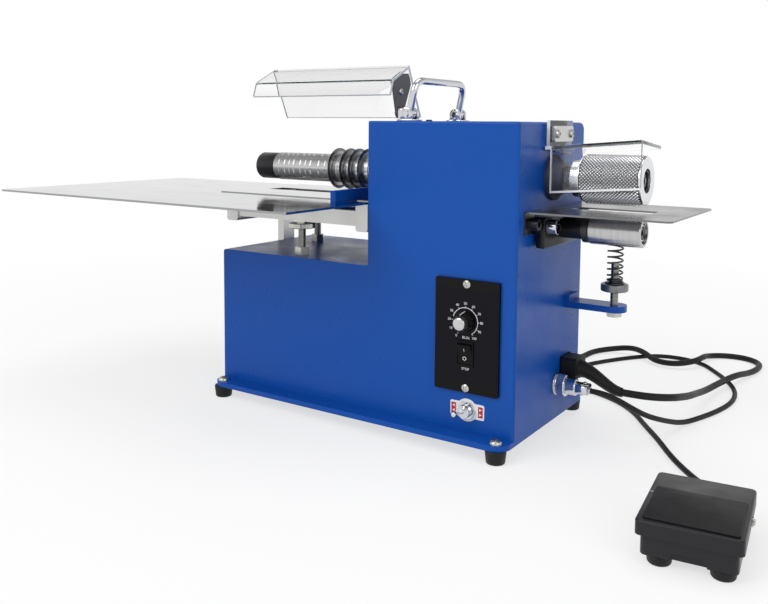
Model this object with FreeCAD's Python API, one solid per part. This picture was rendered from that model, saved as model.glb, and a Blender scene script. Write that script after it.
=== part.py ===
import FreeCAD, Part
import math
import os

# Leather splitting machine: a benchtop strip cutter and feed roller on one spindle.
# The origin is the centre of the base plate's underside. X runs along the spindle,
# Y to the back and Z up. All sizes are in millimetres.

Vector = FreeCAD.Vector
X_AXIS = Vector(1, 0, 0)
Y_AXIS = Vector(0, 1, 0)
Z_AXIS = Vector(0, 0, 1)

# Standing surface, base plate and case
floor_z = -12.0
plate_thick = 5.0
plate_x = (-171.0, 170.0)
plate_y = 94.5
plate_corner = 14.0
case_x = (-170.0, 170.0)
case_y = 75.5
case_top = 280.0
low_top = 143.6
step_x = 17.0
sheet = 1.5
case_corner = 3.0
case_back_round = 7.5
foot_spots = [(159.0, -86.5), (159.0, 86.5), (-161.0, -86.5), (-161.0, 86.5)]
foot_radius = 9.5

# Spindle, arbor and feed roller
spindle_z = 230.0
shaft_radius = 10.0
bearing_radius = 23.5
bearing_width = 15.0
wall_hole_radius = 17.0
running_gap = 0.05
spacer_radius = 15.0
spacer_chamfer = 0.8
arbor_end = -154.0
arbor_start = 14.6
blade_radius = 21.5
blade_thick = 1.6
blade_bevel = 3.2
blade_centres = [-35.0, -46.6, -57.7, -72.6]
plain_spacers = [17.0, 11.0, 14.0, 9.0, 13.0]
cap_radius = 14.5
cap_end = -180.0
hub_radius = 16.5
hub_x = (190.6, 200.0)
roller_radius = 22.2
roller_x = (200.0, 255.0)
roller_rim = 1.2
end_recess = (10.5, 6.0)

# Gear train between the gearbox and the spindle
gear_module = 2.0
gear_width = 12.0
gear_x = 50.0
spindle_teeth = 33
idler_teeth = 48
output_teeth = 33
pressure_angle = math.radians(20.0)
backlash = 0.14
output_radius = 7.5
idler_pin_radius = 8.0
motor_z = 50.0
motor_half = 43.5
motor_x = (-146.0, -36.0)
motor_ribs = 8
motor_rib_pitch = 12.0
gearbox_x = (-36.0, 24.0)
gear_plate_x = (24.0, 32.0)
gear_boss_x = (46.0, 66.0)

# Left table on its carrier frame
table_x = (-390.0, 15.5)
table_y = (-192.3, 69.8)
table_top = 203.5
table_thick = 2.0
throat_x = (-182.0, 15.0)
throat_y = (-67.5, 69.5)
throat_thick = 0.8
blade_slot_x = (-162.0, 2.0)
blade_slot_y = 12.0
fence_x = (-20.0, -14.0)
fence_y = (-85.5, 60.0)
fence_top = 213.5
fence_notch = 24.0
left_bar_x = (-165.0, -150.0)
right_bar_x = (2.0, 16.0)
bar_y = 75.0
bar_bottom = 175.0
rail_y = (65.5, 73.5)
rail_bottom = 180.0
anvil_radius = 10.0
anvil_z = 193.2
journal_radius = 5.0
stud_radius = 4.0
front_stud = (-78.5, -56.0)
rear_stud = (-129.0, 34.0)
stud_top = 192.0
stud_bottom = 132.0
lug_radius = 9.5
lift_nut_radius = 13.35

# Clear guards
acrylic = 3.0
hood_x = (-161.0, 16.0)
hood_profile = [(-38.8, 305.6), (-33.8, 320.7), (-3.1, 336.0), (20.5, 284.5)]
guard_pivot = (-18.0, 289.0)
arm_plate_x = (12.5, 15.5)
hinge_pin_radius = 2.5
right_guard_x = (177.0, 257.0)
right_guard_front = -26.2
right_guard_back = 30.5
right_guard_rise = math.radians(4.7)
right_guard_drop = math.radians(6.0)
right_guard_top = 259.0
right_guard_height = 41.7

# Carry handle
handle_x = 44.0
handle_y = 47.0
handle_pivot_z = 287.0
handle_lean = math.radians(12.0)
handle_reach = 31.5
handle_rod = 3.5

# Right table, sprung feed arm and tension screw
side_table_x = (170.0, 293.5)
side_table_y = (-63.5, 71.0)
side_table_top = 203.3
side_table_thick = 1.5
side_slot_x = (191.0, 263.0)
side_slot_y = 10.0
feed_pivot = (-35.0, 189.0)
feed_bar_x = (173.0, 181.0)
feed_roller_y = 0.0
feed_roller_z = 185.0
feed_roller_radius = 13.0
feed_roller_x = (207.3, 254.0)
feed_axle_radius = 6.0
feed_boss_radius = 9.5
feed_bolt_radius = 4.0
spring_x = 214.3
spring_y = 45.5
spring_outer = 15.3
spring_wire = 1.7
spring_turn_pitch = 5.6
seat_z = 130.0
seat_thick = 1.5
lug_z = 172.0
tension_rod_radius = 3.8
bracket_z = (104.0, 110.0)

# Controls on the front of the case
plate_front = 3.0
control_x = (93.0, 156.0)
control_z = (41.3, 142.2)
knob_x = 123.4
knob_z = 105.0
rocker_x = (116.5, 130.6)
rocker_z = (66.6, 86.0)
toggle_x = 124.9
toggle_z = 24.9
toggle_tilt = math.radians(15.0)

# Sockets on the right wall
round_socket_y = 15.5
round_socket_z = 34.0
inlet_y = 38.5
inlet_z = 47.0

# Foot pedal
pedal_centre = (338.9, -140.3)
pedal_turn = 5.9
pedal_half_x = 34.0
pedal_half_y = 45.0
pedal_top = 20.0
pedal_skirt = 11.0
pedal_pivot_y = 8.0
pedal_pivot_z = 10.5
pedal_gland_x = 8.0
pedal_gland_z = 3.6
pedal_gland_end = 53.0
pedal_cord_run = 17.0

# Cords: routes are the corners of straight runs, which arcs round off
mains_diameter = 6.8
mains_route = [
    (227.0, 38.5, 29.6), (244.0, 38.5, 29.6), (259.0, 46.5, 28.6), (268.4, 61.0, 26.4),
    (270.3, 79.0, 22.6), (270.5, 106.0, 16.3), (267.5, 146.0, 7.5), (267.5, 190.0, -0.6),
    (271.5, 232.0, -2.8), (280.5, 276.0, -2.8), (288.0, 311.0, -7.8), (293.0, 338.0, -8.6),
    (291.0, 364.0, -8.6), (271.8, 381.0, -8.6), (246.0, 378.5, -8.6), (229.5, 359.0, -7.4),
    (231.5, 334.0, -2.8), (228.0, 308.0, -2.8), (209.0, 292.5, -5.8), (184.0, 294.0, -6.2),
    (166.5, 313.5, -2.8), (145.0, 328.0, -2.8), (119.5, 323.0, -7.4), (104.5, 302.5, -8.6),
    (102.5, 273.0, -8.6), (98.0, 242.0, -8.6), (92.1, 211.0, -8.6),
]
pedal_cord_diameter = 5.0
pedal_route = [
    (205.0, 15.5, 33.0), (217.0, 15.5, 33.0), (229.5, 18.5, 28.5), (240.5, 26.0, 20.5),
    (250.0, 41.0, 10.8), (260.0, 66.0, 1.0), (268.0, 98.0, -8.8), (278.0, 126.0, -9.5), (287.5, 156.0, -9.5),
    (293.5, 190.0, -9.5), (291.5, 222.0, -9.5), (283.0, 250.0, -9.5), (268.0, 278.0, -9.5),
    (250.0, 304.0, -9.5), (234.0, 325.0, -9.5), (210.0, 337.0, -9.5), (182.0, 335.0, -9.5),
    (163.0, 319.0, -9.5), (142.0, 289.0, -9.5), (124.0, 256.0, -9.5), (112.0, 224.0, -9.5),
    (107.0, 196.0, -9.5), (115.0, 170.0, -9.5), (138.0, 152.0, -9.5), (168.0, 143.0, -9.5),
    (196.0, 127.0, -9.5), (219.0, 104.0, -9.5), (238.0, 74.5, -9.5), (260.0, 43.0, -9.5),
    (280.0, 10.0, -9.5), (300.0, -17.0, -9.5), (321.0, -42.0, -8.6), (334.5, -55.5, -3.0),
]
coil_centre = (48.0, 178.0)
coil_radius = 44.1
coil_step = 4.6
coil_layer = 7.6
coil_inward = 3
plug_half_x = 15.0


def box(x, y, z):
    """Block between the low and high values of each pair."""
    return Part.makeBox(x[1] - x[0], y[1] - y[0], z[1] - z[0], Vector(x[0], y[0], z[0]))


def rod_x(radius, x, y, z):
    return Part.makeCylinder(radius, x[1] - x[0], Vector(x[0], y, z), X_AXIS)


def rod_y(radius, x, y, z):
    return Part.makeCylinder(radius, y[1] - y[0], Vector(x, y[0], z), Y_AXIS)


def rod_z(radius, x, y, z):
    return Part.makeCylinder(radius, z[1] - z[0], Vector(x, y, z[0]), Z_AXIS)


def face_of(points):
    return Part.Face(Part.makePolygon(points + [points[0]]))


def prism_x(outline, x):
    """Outline of (y, z) points pushed along X."""
    return face_of([Vector(x[0], y, z) for y, z in outline]).extrude(X_AXIS * (x[1] - x[0]))


def prism_y(outline, y):
    """Outline of (x, z) points pushed along Y."""
    return face_of([Vector(x, y[0], z) for x, z in outline]).extrude(Y_AXIS * (y[1] - y[0]))


def prism_z(outline, z):
    """Outline of (x, y) points pushed along Z."""
    return face_of([Vector(x, y, z[0]) for x, y in outline]).extrude(Z_AXIS * (z[1] - z[0]))


def turned_x(outline, y, z):
    """Outline of (x, radius) points turned about a line along X."""
    face = face_of([Vector(x, y, z + radius) for x, radius in outline])
    return face.revolve(Vector(0, y, z), X_AXIS, 360)


def turned_z(outline, x, y):
    """Outline of (radius, z) points turned about a line along Z."""
    face = face_of([Vector(x + radius, y, z) for radius, z in outline])
    return face.revolve(Vector(x, y, 0), Z_AXIS, 360)


def turned_y(outline, x, z):
    """Outline of (y, radius) points turned about a line along Y."""
    face = face_of([Vector(x, y, z + radius) for y, radius in outline])
    return face.revolve(Vector(x, 0, z), Y_AXIS, 360)


def strip_outline(points, thick):
    """Closed outline of a bent sheet whose outer side follows the points."""
    inner = []
    for i, point in enumerate(points):
        sides = []
        for a, b in ((i - 1, i), (i, i + 1)):
            if a >= 0 and b < len(points):
                run = (points[b][0] - points[a][0], points[b][1] - points[a][1])
                length = math.hypot(*run)
                sides.append((run[1] / length, -run[0] / length))
        across = [sum(side[k] for side in sides) / len(sides) for k in (0, 1)]
        scale = thick / (across[0] ** 2 + across[1] ** 2)
        inner.append((point[0] + across[0] * scale, point[1] + across[1] * scale))
    return points + inner[::-1]


def edges_along(shape, axis, keep):
    """Straight edges that run along an axis and whose middle passes the test."""
    found = []
    for edge in shape.Edges:
        if isinstance(edge.Curve, Part.Line):
            run = edge.tangentAt(edge.FirstParameter)
            if abs(abs(run.dot(axis)) - 1) < 1e-6 and keep(edge.CenterOfMass):
                found.append(edge)
    return found


def round_edges(shape, axis, radius, keep=lambda middle: True):
    return shape.makeFillet(radius, edges_along(shape, axis, keep))


def hexagon(across_flats, u, v):
    """Corners of a hexagon about the point (u, v)."""
    corner = across_flats / math.sqrt(3)
    angles = [math.radians(60 * i) for i in range(6)]
    return [(u + corner * math.cos(angle), v + corner * math.sin(angle)) for angle in angles]


def hex_nut(across_flats, z, x, y, bore):
    return prism_z(hexagon(across_flats, x, y), z).cut(rod_z(bore, x, y, (z[0] - 1, z[1] + 1)))


def write(name, *solids):
    shape = solids[0] if len(solids) == 1 else Part.makeCompound(list(solids))
    shape.exportStep(os.path.join("parts", name + ".step"))


def arc_between(start, heading, end):
    """Arc that leaves start along heading and reaches end."""
    chord = end - start
    along = chord.normalize() if chord.Length > 0 else chord
    length = (end - start).Length
    cosine = heading.dot(along)
    side = heading - along * cosine
    if side.Length < 1e-9:
        return Part.LineSegment(start, end).toShape()
    side.normalize()
    rise = 0.5 * length * math.tan(0.5 * math.acos(max(-1.0, min(1.0, cosine))))
    return Part.Arc(start, (start + end) * 0.5 + side * rise, end).toShape()


def biarc(start, heading, end, end_heading):
    """Two arcs that join two points and keep both headings."""
    span = end - start
    both = heading + end_heading
    spread = 2 * (1 - heading.dot(end_heading))
    if spread < 1e-9:
        reach = span.dot(span) / (4 * span.dot(end_heading))
    else:
        root = math.sqrt(span.dot(both) ** 2 + spread * span.dot(span))
        reach = (root - span.dot(both)) / spread
    first = start + heading * reach
    second = end - end_heading * reach
    joint = (first + second) * 0.5
    across = (second - first).normalize()
    return [arc_between(start, heading, joint), arc_between(joint, across, end)]


def swept_round(edges, radius):
    """Round bar along joined edges."""
    wire = Part.Wire(edges)
    first = edges[0]
    heading = first.tangentAt(first.FirstParameter)
    start = first.valueAt(first.FirstParameter)
    profile = Part.Wire([Part.Circle(start, heading, radius).toShape()])
    return wire.makePipeShell([profile], True, False)


def tube_edges(route):
    """Straight runs joined by tangent arcs, with the radius that each turn allows."""
    points = [Vector(*point) for point in route]
    edges = []
    radii = []
    last = points[0]
    for before, corner, after in zip(points, points[1:], points[2:]):
        to_corner = corner - before
        to_after = after - corner
        turn = to_corner.getAngle(to_after)
        cut = 0.45 * min(to_corner.Length, to_after.Length)
        radii.append(cut / math.tan(turn / 2))
        start = corner - to_corner.normalize() * cut
        end = corner + to_after.normalize() * cut
        edges.append(Part.LineSegment(last, start).toShape())
        edges.append(arc_between(start, (corner - before).normalize(), end))
        last = end
    edges.append(Part.LineSegment(last, points[-1]).toShape())
    return edges, radii


def cord_tube(name, route, diameter):
    edges, radii = tube_edges(route)
    tube = swept_round(edges, diameter / 2)
    length = sum(edge.Length for edge in edges)
    expected = length * math.pi * diameter ** 2 / 4
    print(name, "length %.0f" % length, "least radius %.1f" % min(radii),
          "volume against section times length %.4f" % (tube.Volume / expected))
    return tube


def least_self_gap(edges, radius, skip):
    """Least clear distance between stretches of a wound bar that are further apart than skip."""
    samples = []
    travelled = 0.0
    for edge in edges:
        count = max(2, int(edge.Length / 1.5))
        for i in range(count):
            share = i / count
            parameter = edge.FirstParameter + share * (edge.LastParameter - edge.FirstParameter)
            samples.append((travelled + share * edge.Length, edge.valueAt(parameter)))
        travelled += edge.Length
    gaps = [(p - q).Length for i, (s, p) in enumerate(samples) for t, q in samples[i + 1:] if t - s > skip]
    return min(gaps) - 2 * radius


def base_plate():
    plate = box(plate_x, (-plate_y, plate_y), (0, plate_thick))
    plate = round_edges(plate, Z_AXIS, plate_corner)
    for x, y in foot_spots:
        plate = plate.cut(rod_z(2.5, x, y, (-1, plate_thick + 1)))
    return plate


def rubber_feet():
    shape = [(0, floor_z), (foot_radius - 2, floor_z), (foot_radius - 1.2, floor_z + 0.8),
             (foot_radius, 0), (0, 0)]
    return [turned_z(shape, x, y) for x, y in foot_spots] + pedal_feet()


def foot_screws():
    """Pan heads on the plate's corners."""
    low = plate_thick
    head = [(0, 0), (2.5, 0), (2.5, low), (5.6, low), (5.2, low + 2.2), (3.6, low + 3.4), (0, low + 3.6)]
    return [turned_z(head, x, y) for x, y in foot_spots]


def case_outline(inset, bottom):
    left, right = case_x[0] + inset, case_x[1] - inset
    return [(left, bottom), (right, bottom), (right, case_top - inset), (step_x + inset, case_top - inset),
            (step_x + inset, low_top - inset), (left, low_top - inset)]


def case_shell():
    shell = prism_y(case_outline(0, plate_thick), (-case_y, case_y))
    shell = round_edges(shell, X_AXIS, case_back_round, lambda m: m.z > case_top - 1 and m.y > 0)
    shell = round_edges(shell, X_AXIS, 2.0, lambda m: m.z > case_top - 1 and m.y < 0)
    outer_corners = lambda m: abs(m.x - step_x) > 1 and m.z > plate_thick + 1
    shell = round_edges(shell, Y_AXIS, case_corner, outer_corners)
    shell = shell.cut(prism_y(case_outline(sheet, plate_thick - 1), (sheet - case_y, case_y - sheet)))
    openings = [
        rod_x(wall_hole_radius, (step_x - 1, step_x + 3), 0, spindle_z),
        rod_x(wall_hole_radius, (case_x[1] - 3, case_x[1] + 1), 0, spindle_z),
        rod_x(8.1, (case_x[1] - 3, case_x[1] + 1), round_socket_y, round_socket_z),
        box((case_x[1] - 3, case_x[1] + 1), (inlet_y - 12.6, inlet_y + 12.6), (inlet_z - 9.1, inlet_z + 9.1)),
        box((97, 152), (-case_y - 1, -case_y + 3), (52, 132)),
        rod_y(6.1, toggle_x, (-case_y - 1, -case_y + 3), toggle_z),
    ]
    for x, y in (front_stud, rear_stud):
        openings.append(rod_z(stud_radius + 0.3, x, y, (low_top - 3, low_top + 1)))
    for opening in openings:
        shell = shell.cut(opening)
    return shell


def gear_plate():
    """Upright steel plate that carries the gearbox and the idler's stub axle."""
    output_z = spindle_z - gear_centre() * 2
    low, high = gear_plate_x
    plate = prism_x([(-50, 5), (50, 5), (50, 150), (28, 190), (-28, 190), (-50, 150)], gear_plate_x)
    foot = box((high, high + 14), (-50, 50), (plate_thick, plate_thick + 6))
    plate = plate.fuse(foot).removeSplitter()
    plate = plate.cut(rod_x(16, (low - 4, high + 8), 0, output_z))
    axle_z = spindle_z - gear_centre()
    plate = plate.cut(rod_x(idler_pin_radius, (low - 4, high + 8), 0, axle_z))
    head = gear_boss_x[1]
    axle = turned_x([(low, 0), (low, idler_pin_radius), (head, idler_pin_radius), (head, 11),
                     (head + 2, 11), (head + 2, 0)], 0, axle_z)
    return [plate, axle]


def gear_centre():
    return gear_module * (spindle_teeth + idler_teeth) / 2


def gear_face(teeth, phase, z):
    """Involute gear outline about a line along X; phase is the angle of a tooth's middle."""
    pitch = gear_module * teeth / 2
    base = pitch * math.cos(pressure_angle)
    tip = pitch + gear_module
    root = pitch - 1.25 * gear_module
    involute = lambda radius: math.tan(math.acos(base / radius)) - math.acos(base / radius)
    half_pitch = (math.pi / 2 - backlash / gear_module) / teeth + involute(pitch)
    start = max(base, root)
    stations = [start, (start + tip) / 2, tip]
    half_angles = [half_pitch - involute(radius) for radius in stations]

    def spot(radius, angle):
        return Vector(gear_x, radius * math.cos(angle), z + radius * math.sin(angle))

    edges = []
    for i in range(teeth):
        middle = phase + 2 * math.pi * i / teeth
        after = middle + 2 * math.pi / teeth
        rise = [spot(r, middle - h) for r, h in zip(stations, half_angles)]
        fall = [spot(r, middle + h) for r, h in zip(stations, half_angles)][::-1]
        foot_before = spot(root, middle - half_angles[0])
        foot_after = spot(root, middle + half_angles[0])
        next_foot = spot(root, after - half_angles[0])
        if start > root:
            edges.append(Part.LineSegment(foot_before, rise[0]).toShape())
        edges.append(Part.Arc(*rise).toShape())
        edges.append(Part.LineSegment(rise[2], fall[0]).toShape())
        edges.append(Part.Arc(*fall).toShape())
        if start > root:
            edges.append(Part.LineSegment(fall[2], foot_after).toShape())
        edges.append(Part.LineSegment(foot_after if start > root else fall[2], next_foot).toShape())
    return Part.Face(Part.Wire(edges))


def gear(teeth, phase, z, bore, boss_radius, boss_x, web_holes):
    wheel = gear_face(teeth, phase, z).extrude(X_AXIS * gear_width)
    wheel = wheel.fuse(rod_x(boss_radius, boss_x, 0, z)).removeSplitter()
    wheel = wheel.cut(rod_x(bore, (boss_x[0] - 1, boss_x[1] + 1), 0, z))
    hole_circle = (gear_module * teeth / 2 - 2.5 * gear_module + boss_radius) / 2
    for i in range(web_holes):
        angle = 2 * math.pi * (i + 0.5) / web_holes
        y, up = hole_circle * math.cos(angle), hole_circle * math.sin(angle)
        wheel = wheel.cut(rod_x(0.3 * (hole_circle - 2), (gear_x - 1, gear_x + gear_width + 1), y, z + up))
    return wheel


def drive_motor():
    low, high = motor_x
    body = turned_x([(low, 0), (low, 34), (low + 4, 40), (low + 4, motor_half - 1),
                     (high, motor_half - 1), (high, 0)], 0, motor_z)
    for i in range(motor_ribs):
        x = low + motor_rib_pitch * (i + 1)
        groove = turned_x([(x, motor_half - 4), (x, motor_half + 1), (x + 5, motor_half + 1),
                           (x + 5, motor_half - 4)], 0, motor_z)
        body = body.cut(groove)
    return body


def gearbox(output_z):
    body = box(gearbox_x, (-motor_half, motor_half), (motor_z - motor_half, motor_z + motor_half))
    body = round_edges(body, X_AXIS, 7.0)
    boss = rod_x(15.5, (gearbox_x[1], gearbox_x[1] + 10), 0, output_z)
    bore = rod_x(output_radius + running_gap, (-6, 40), 0, output_z)
    return body.fuse(boss).cut(bore)


def output_gear(output_z):
    wheel = gear(output_teeth, math.pi / 2, output_z, output_radius, 14, gear_boss_x, 5)
    shaft = rod_x(output_radius, (-5, gear_boss_x[1] + 2), 0, output_z)
    return [wheel, shaft]


def bearing_spans():
    """Stretches of the spindle inside the two walls that its bearings take."""
    left = step_x + sheet
    right = case_x[1] - sheet
    return [(left, left + bearing_width), (right - bearing_width, right)]


def bearing_housings():
    """Blocks inside the walls, and the flanges that close them from outside."""
    blocks = []
    for x in bearing_spans():
        block = box(x, (-32, 32), (200, 262))
        block = round_edges(block, X_AXIS, 6.0)
        blocks.append(block.cut(rod_x(bearing_radius, (x[0] - 1, x[1] + 1), 0, spindle_z)))
    return blocks + bearing_flanges()


def ball_bearing(x, bore, outer, y, z):
    """Shielded ball bearing: rings with a thinner shield between them."""
    width = x[1] - x[0]
    recess = 0.06 * width
    wall = 0.24 * (outer - bore)
    outline = [(x[0], bore), (x[0], bore + wall), (x[0] + recess, bore + wall), (x[0] + recess, outer - wall),
               (x[0], outer - wall), (x[0], outer), (x[1], outer), (x[1], outer - wall),
               (x[1] - recess, outer - wall), (x[1] - recess, bore + wall), (x[1], bore + wall), (x[1], bore)]
    return turned_x(outline, y, z)


def spindle_bearings():
    bore = shaft_radius + running_gap
    return [ball_bearing(x, bore, bearing_radius, 0, spindle_z) for x in bearing_spans()]


def bearing_flanges():
    clear = shaft_radius + 0.5
    face, inside = arbor_start + 0.6, step_x + sheet
    left = turned_x([(face, clear), (face, 16.5), (inside, 16.5), (inside, clear)], 0, spindle_z)
    wall = case_x[1]
    right = turned_x([(wall - sheet, clear), (wall - sheet, 16.9), (wall, 16.9), (wall, 21),
                      (wall + 3, 21), (wall + 5, 17), (wall + 12, 14), (wall + 13, 13),
                      (wall + 13, clear)], 0, spindle_z)
    return [left, right]


def spindle_shaft():
    end = roller_x[1] - end_recess[1]
    start = arbor_end - 6
    return turned_x([(start, 0), (start, 8), (arbor_end, 8), (arbor_end, shaft_radius), (end, shaft_radius),
                     (end, 7), (end + 3, 7), (end + 3, 3), (end + 1, 3), (end + 1, 0)], 0, spindle_z)


def spacer(x):
    low, high = x
    c = spacer_chamfer
    outline = [(low, shaft_radius), (low, spacer_radius - c), (low + c, spacer_radius),
               (high - c, spacer_radius), (high, spacer_radius - c), (high, shaft_radius)]
    return turned_x(outline, 0, spindle_z)


def arbor_spacers():
    """Sleeves between the blades, then a row of plain ones out to the cap."""
    pieces = []
    edge = arbor_start
    for centre in blade_centres:
        inner = centre + blade_thick / 2
        length = edge - inner
        count = max(1, round(length / 17.0))
        for i in range(count):
            pieces.append(spacer((edge - length * (i + 1) / count, edge - length * i / count)))
        edge = centre - blade_thick / 2
    for width in plain_spacers:
        pieces.append(spacer((edge - width, edge)))
        edge -= width
    pieces.append(spacer((arbor_end, edge)))
    return pieces


def slitting_blades():
    """Disc knives, ground from one side to a thin edge."""
    blades = []
    for centre in blade_centres:
        low, high = centre - blade_thick / 2, centre + blade_thick / 2
        outline = [(low, shaft_radius), (low, blade_radius - blade_bevel), (centre - 0.1, blade_radius),
                   (centre + 0.1, blade_radius), (high, blade_radius - blade_bevel), (high, shaft_radius)]
        blades.append(turned_x(outline, 0, spindle_z))
    return blades


def arbor_end_cap():
    outline = [(arbor_end, 8), (arbor_end, cap_radius), (cap_end + 2.5, cap_radius),
               (cap_end + 0.8, cap_radius - 0.8), (cap_end, cap_radius - 2.5), (cap_end, 0),
               (arbor_end - 6, 0), (arbor_end - 6, 8)]
    return turned_x(outline, 0, spindle_z)


def knurled_roller():
    low, high = roller_x
    recess, depth = end_recess
    hub = turned_x([(hub_x[0], shaft_radius), (hub_x[0], hub_radius - 1), (hub_x[0] + 1, hub_radius),
                    (low, hub_radius), (low, shaft_radius)], 0, spindle_z)
    roller = turned_x([(low, shaft_radius), (low, roller_radius - roller_rim),
                       (low + roller_rim, roller_radius), (high - roller_rim, roller_radius),
                       (high, roller_radius - roller_rim), (high, recess),
                       (high - depth, recess), (high - depth, shaft_radius)], 0, spindle_z)
    return [hub, roller]


def left_table():
    table = box(table_x, table_y, (table_top - table_thick, table_top))
    table = round_edges(table, Z_AXIS, 5.0, lambda m: m.x < 0)
    slot = box(blade_slot_x, (-blade_slot_y, blade_slot_y), (table_top - 5, table_top + 5))
    return table.cut(slot)


def throat_plate():
    plate = box(throat_x, throat_y, (table_top, table_top + throat_thick))
    plate = round_edges(plate, Z_AXIS, 2.0)
    slot = box(blade_slot_x, (-blade_slot_y, blade_slot_y), (table_top - 5, table_top + 5))
    return plate.cut(slot)


def edge_fence():
    """Bar that guides the hide's edge, cut away round the spacers."""
    fence = box(fence_x, fence_y, (table_top, fence_top))
    across = (fence_x[0] - 1, fence_x[1] + 1)
    fence = fence.cut(box(across, (throat_y[0], fence_y[1] + 1), (table_top - 1, table_top + throat_thick)))
    return fence.cut(rod_x(fence_notch, across, 0, spindle_z))


def carrier_frame():
    """Two side bars, two rails and two lugs that the lift nuts push on."""
    top = table_top - table_thick
    parts = []
    for x in (left_bar_x, right_bar_x):
        bar = box(x, (-bar_y, bar_y), (bar_bottom, top))
        bar = round_edges(bar, Y_AXIS, 3.0, lambda m: m.z < bar_bottom + 1)
        parts.append(bar.cut(rod_x(journal_radius + running_gap, (x[0] - 1, x[1] + 1), 0, anvil_z)))
    between = (left_bar_x[1], right_bar_x[0])
    front = box(between, (-rail_y[1], -rail_y[0]), (rail_bottom, top))
    notch = box((-27, 2), (-rail_y[1] - 1, -rail_y[0] + 1), (top - 7, top + 1))
    notch = round_edges(notch, Y_AXIS, 4.0, lambda m: m.x < -20 and m.z < top - 5)
    parts.append(front.cut(notch))
    parts.append(box(between, rail_y, (rail_bottom, top)))
    x, y = front_stud
    lug = rod_z(lug_radius, x, y, (rail_bottom, top))
    lug = lug.fuse(box((x - 6, x + 6), (-rail_y[0], y), (rail_bottom, top)))
    lug = lug.cut(box((x - 20, x + 20), (-rail_y[0] - 20, -rail_y[0]), (rail_bottom - 1, top + 1)))
    parts.append(lug.cut(rod_z(stud_radius + running_gap, x, y, (rail_bottom - 1, stud_top + 7))))
    x, y = rear_stud
    lug = rod_z(lug_radius, x, y, (rail_bottom, top))
    lug = lug.fuse(box((left_bar_x[1], x), (y - 6, y + 6), (rail_bottom, top)))
    parts.append(lug.cut(rod_z(stud_radius + running_gap, x, y, (rail_bottom - 1, stud_top + 7))))
    return parts


def anvil_roller():
    low, high = left_bar_x[1] + 0.8, right_bar_x[0] - 0.8
    outline = [(low - 12, 0), (low - 12, journal_radius), (low, journal_radius), (low, anvil_radius),
               (high, anvil_radius), (high, journal_radius), (high + 12, journal_radius), (high + 12, 0)]
    return turned_x(outline, 0, anvil_z)


def lift_nut(spot):
    """Thumb nut with a collar that carries a lug of the frame."""
    x, y = spot
    bore = stud_radius + running_gap
    z = rail_bottom
    return turned_z([(bore, z - 9.2), (lift_nut_radius - 0.6, z - 9.2), (lift_nut_radius, z - 8.6),
                     (lift_nut_radius, z - 4.4), (lift_nut_radius - 0.6, z - 3.8), (6.5, z - 3.8),
                     (6.5, z), (bore, z)], x, y)


def table_studs():
    """Threaded studs, each locked through the case top by two nuts."""
    parts = []
    for x, y in (front_stud, rear_stud):
        stud = [(0, stud_bottom), (stud_radius, stud_bottom), (stud_radius, stud_top - 1),
                (stud_radius - 1, stud_top), (0, stud_top)]
        parts.append(turned_z(stud, x, y))
        parts.append(hex_nut(13.0, (low_top, low_top + 7.9), x, y, stud_radius))
        parts.append(hex_nut(13.0, (low_top - sheet - 6.5, low_top - sheet), x, y, stud_radius))
    return parts


def guide_post():
    """Angle that stands on the left wall and steadies the carrier."""
    x = (case_x[0] - 8.5, case_x[0])
    post = box(x, (22.5, 41.5), (108, 193))
    inner = box((x[0] - 1, x[1] - 2.5), (25.0, 42.5), (107, 194))
    return post.cut(inner)


def handle_clevises():
    parts = []
    for y in (-handle_y, handle_y):
        foot = box((handle_x - 10, handle_x + 10), (y - 9, y + 9), (case_top, case_top + 1.8))
        foot = round_edges(foot, Z_AXIS, 3.0)
        for low in (y - 7.2, y + 4.2):
            ear = rod_y(6.0, handle_x, (low, low + 3), handle_pivot_z)
            web = box((handle_x - 6, handle_x + 6), (low, low + 3), (case_top + 1.8, handle_pivot_z))
            ear = ear.fuse(web)
            foot = foot.fuse(ear.cut(rod_y(2.5, handle_x, (low - 1, low + 4), handle_pivot_z)))
        parts.append(foot.removeSplitter())
        parts.append(turned_y([(y - 8.2, 0), (y - 8.2, 3.6), (y - 7.2, 3.6), (y - 7.2, 2.5), (y + 7.2, 2.5),
                               (y + 7.2, 3.6), (y + 8.2, 3.6), (y + 8.2, 0)], handle_x, handle_pivot_z))
    return parts


def carry_handle():
    """Round bar bent into a low loop, with an eye at each pivot."""
    lean = Vector(math.sin(handle_lean), 0, math.cos(handle_lean))
    bend = 13.0
    ends = [Vector(handle_x, y, handle_pivot_z) for y in (-handle_y, handle_y)]
    corner = [end + lean * handle_reach for end in ends]
    inward = [Y_AXIS, Y_AXIS * -1]
    starts = [ends[i] + lean * 4.4 for i in (0, 1)]
    before = [corner[i] - lean * bend for i in (0, 1)]
    after = [corner[i] + inward[i] * bend for i in (0, 1)]
    middle = [corner[i] + (inward[i] - lean) * (bend * (1 - math.sqrt(0.5))) for i in (0, 1)]
    curves = [Part.LineSegment(starts[0], before[0]), Part.Arc(before[0], middle[0], after[0]),
              Part.LineSegment(after[0], after[1]), Part.Arc(after[1], middle[1], before[1]),
              Part.LineSegment(before[1], starts[1])]
    bar = swept_round([curve.toShape() for curve in curves], handle_rod)
    for y in (-handle_y, handle_y):
        eye = rod_y(4.8, handle_x, (y - 3.9, y + 3.9), handle_pivot_z)
        bar = bar.fuse(eye)
    for y in (-handle_y, handle_y):
        bar = bar.cut(rod_y(2.5 + running_gap, handle_x, (y - 5, y + 5), handle_pivot_z))
    return bar


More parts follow.
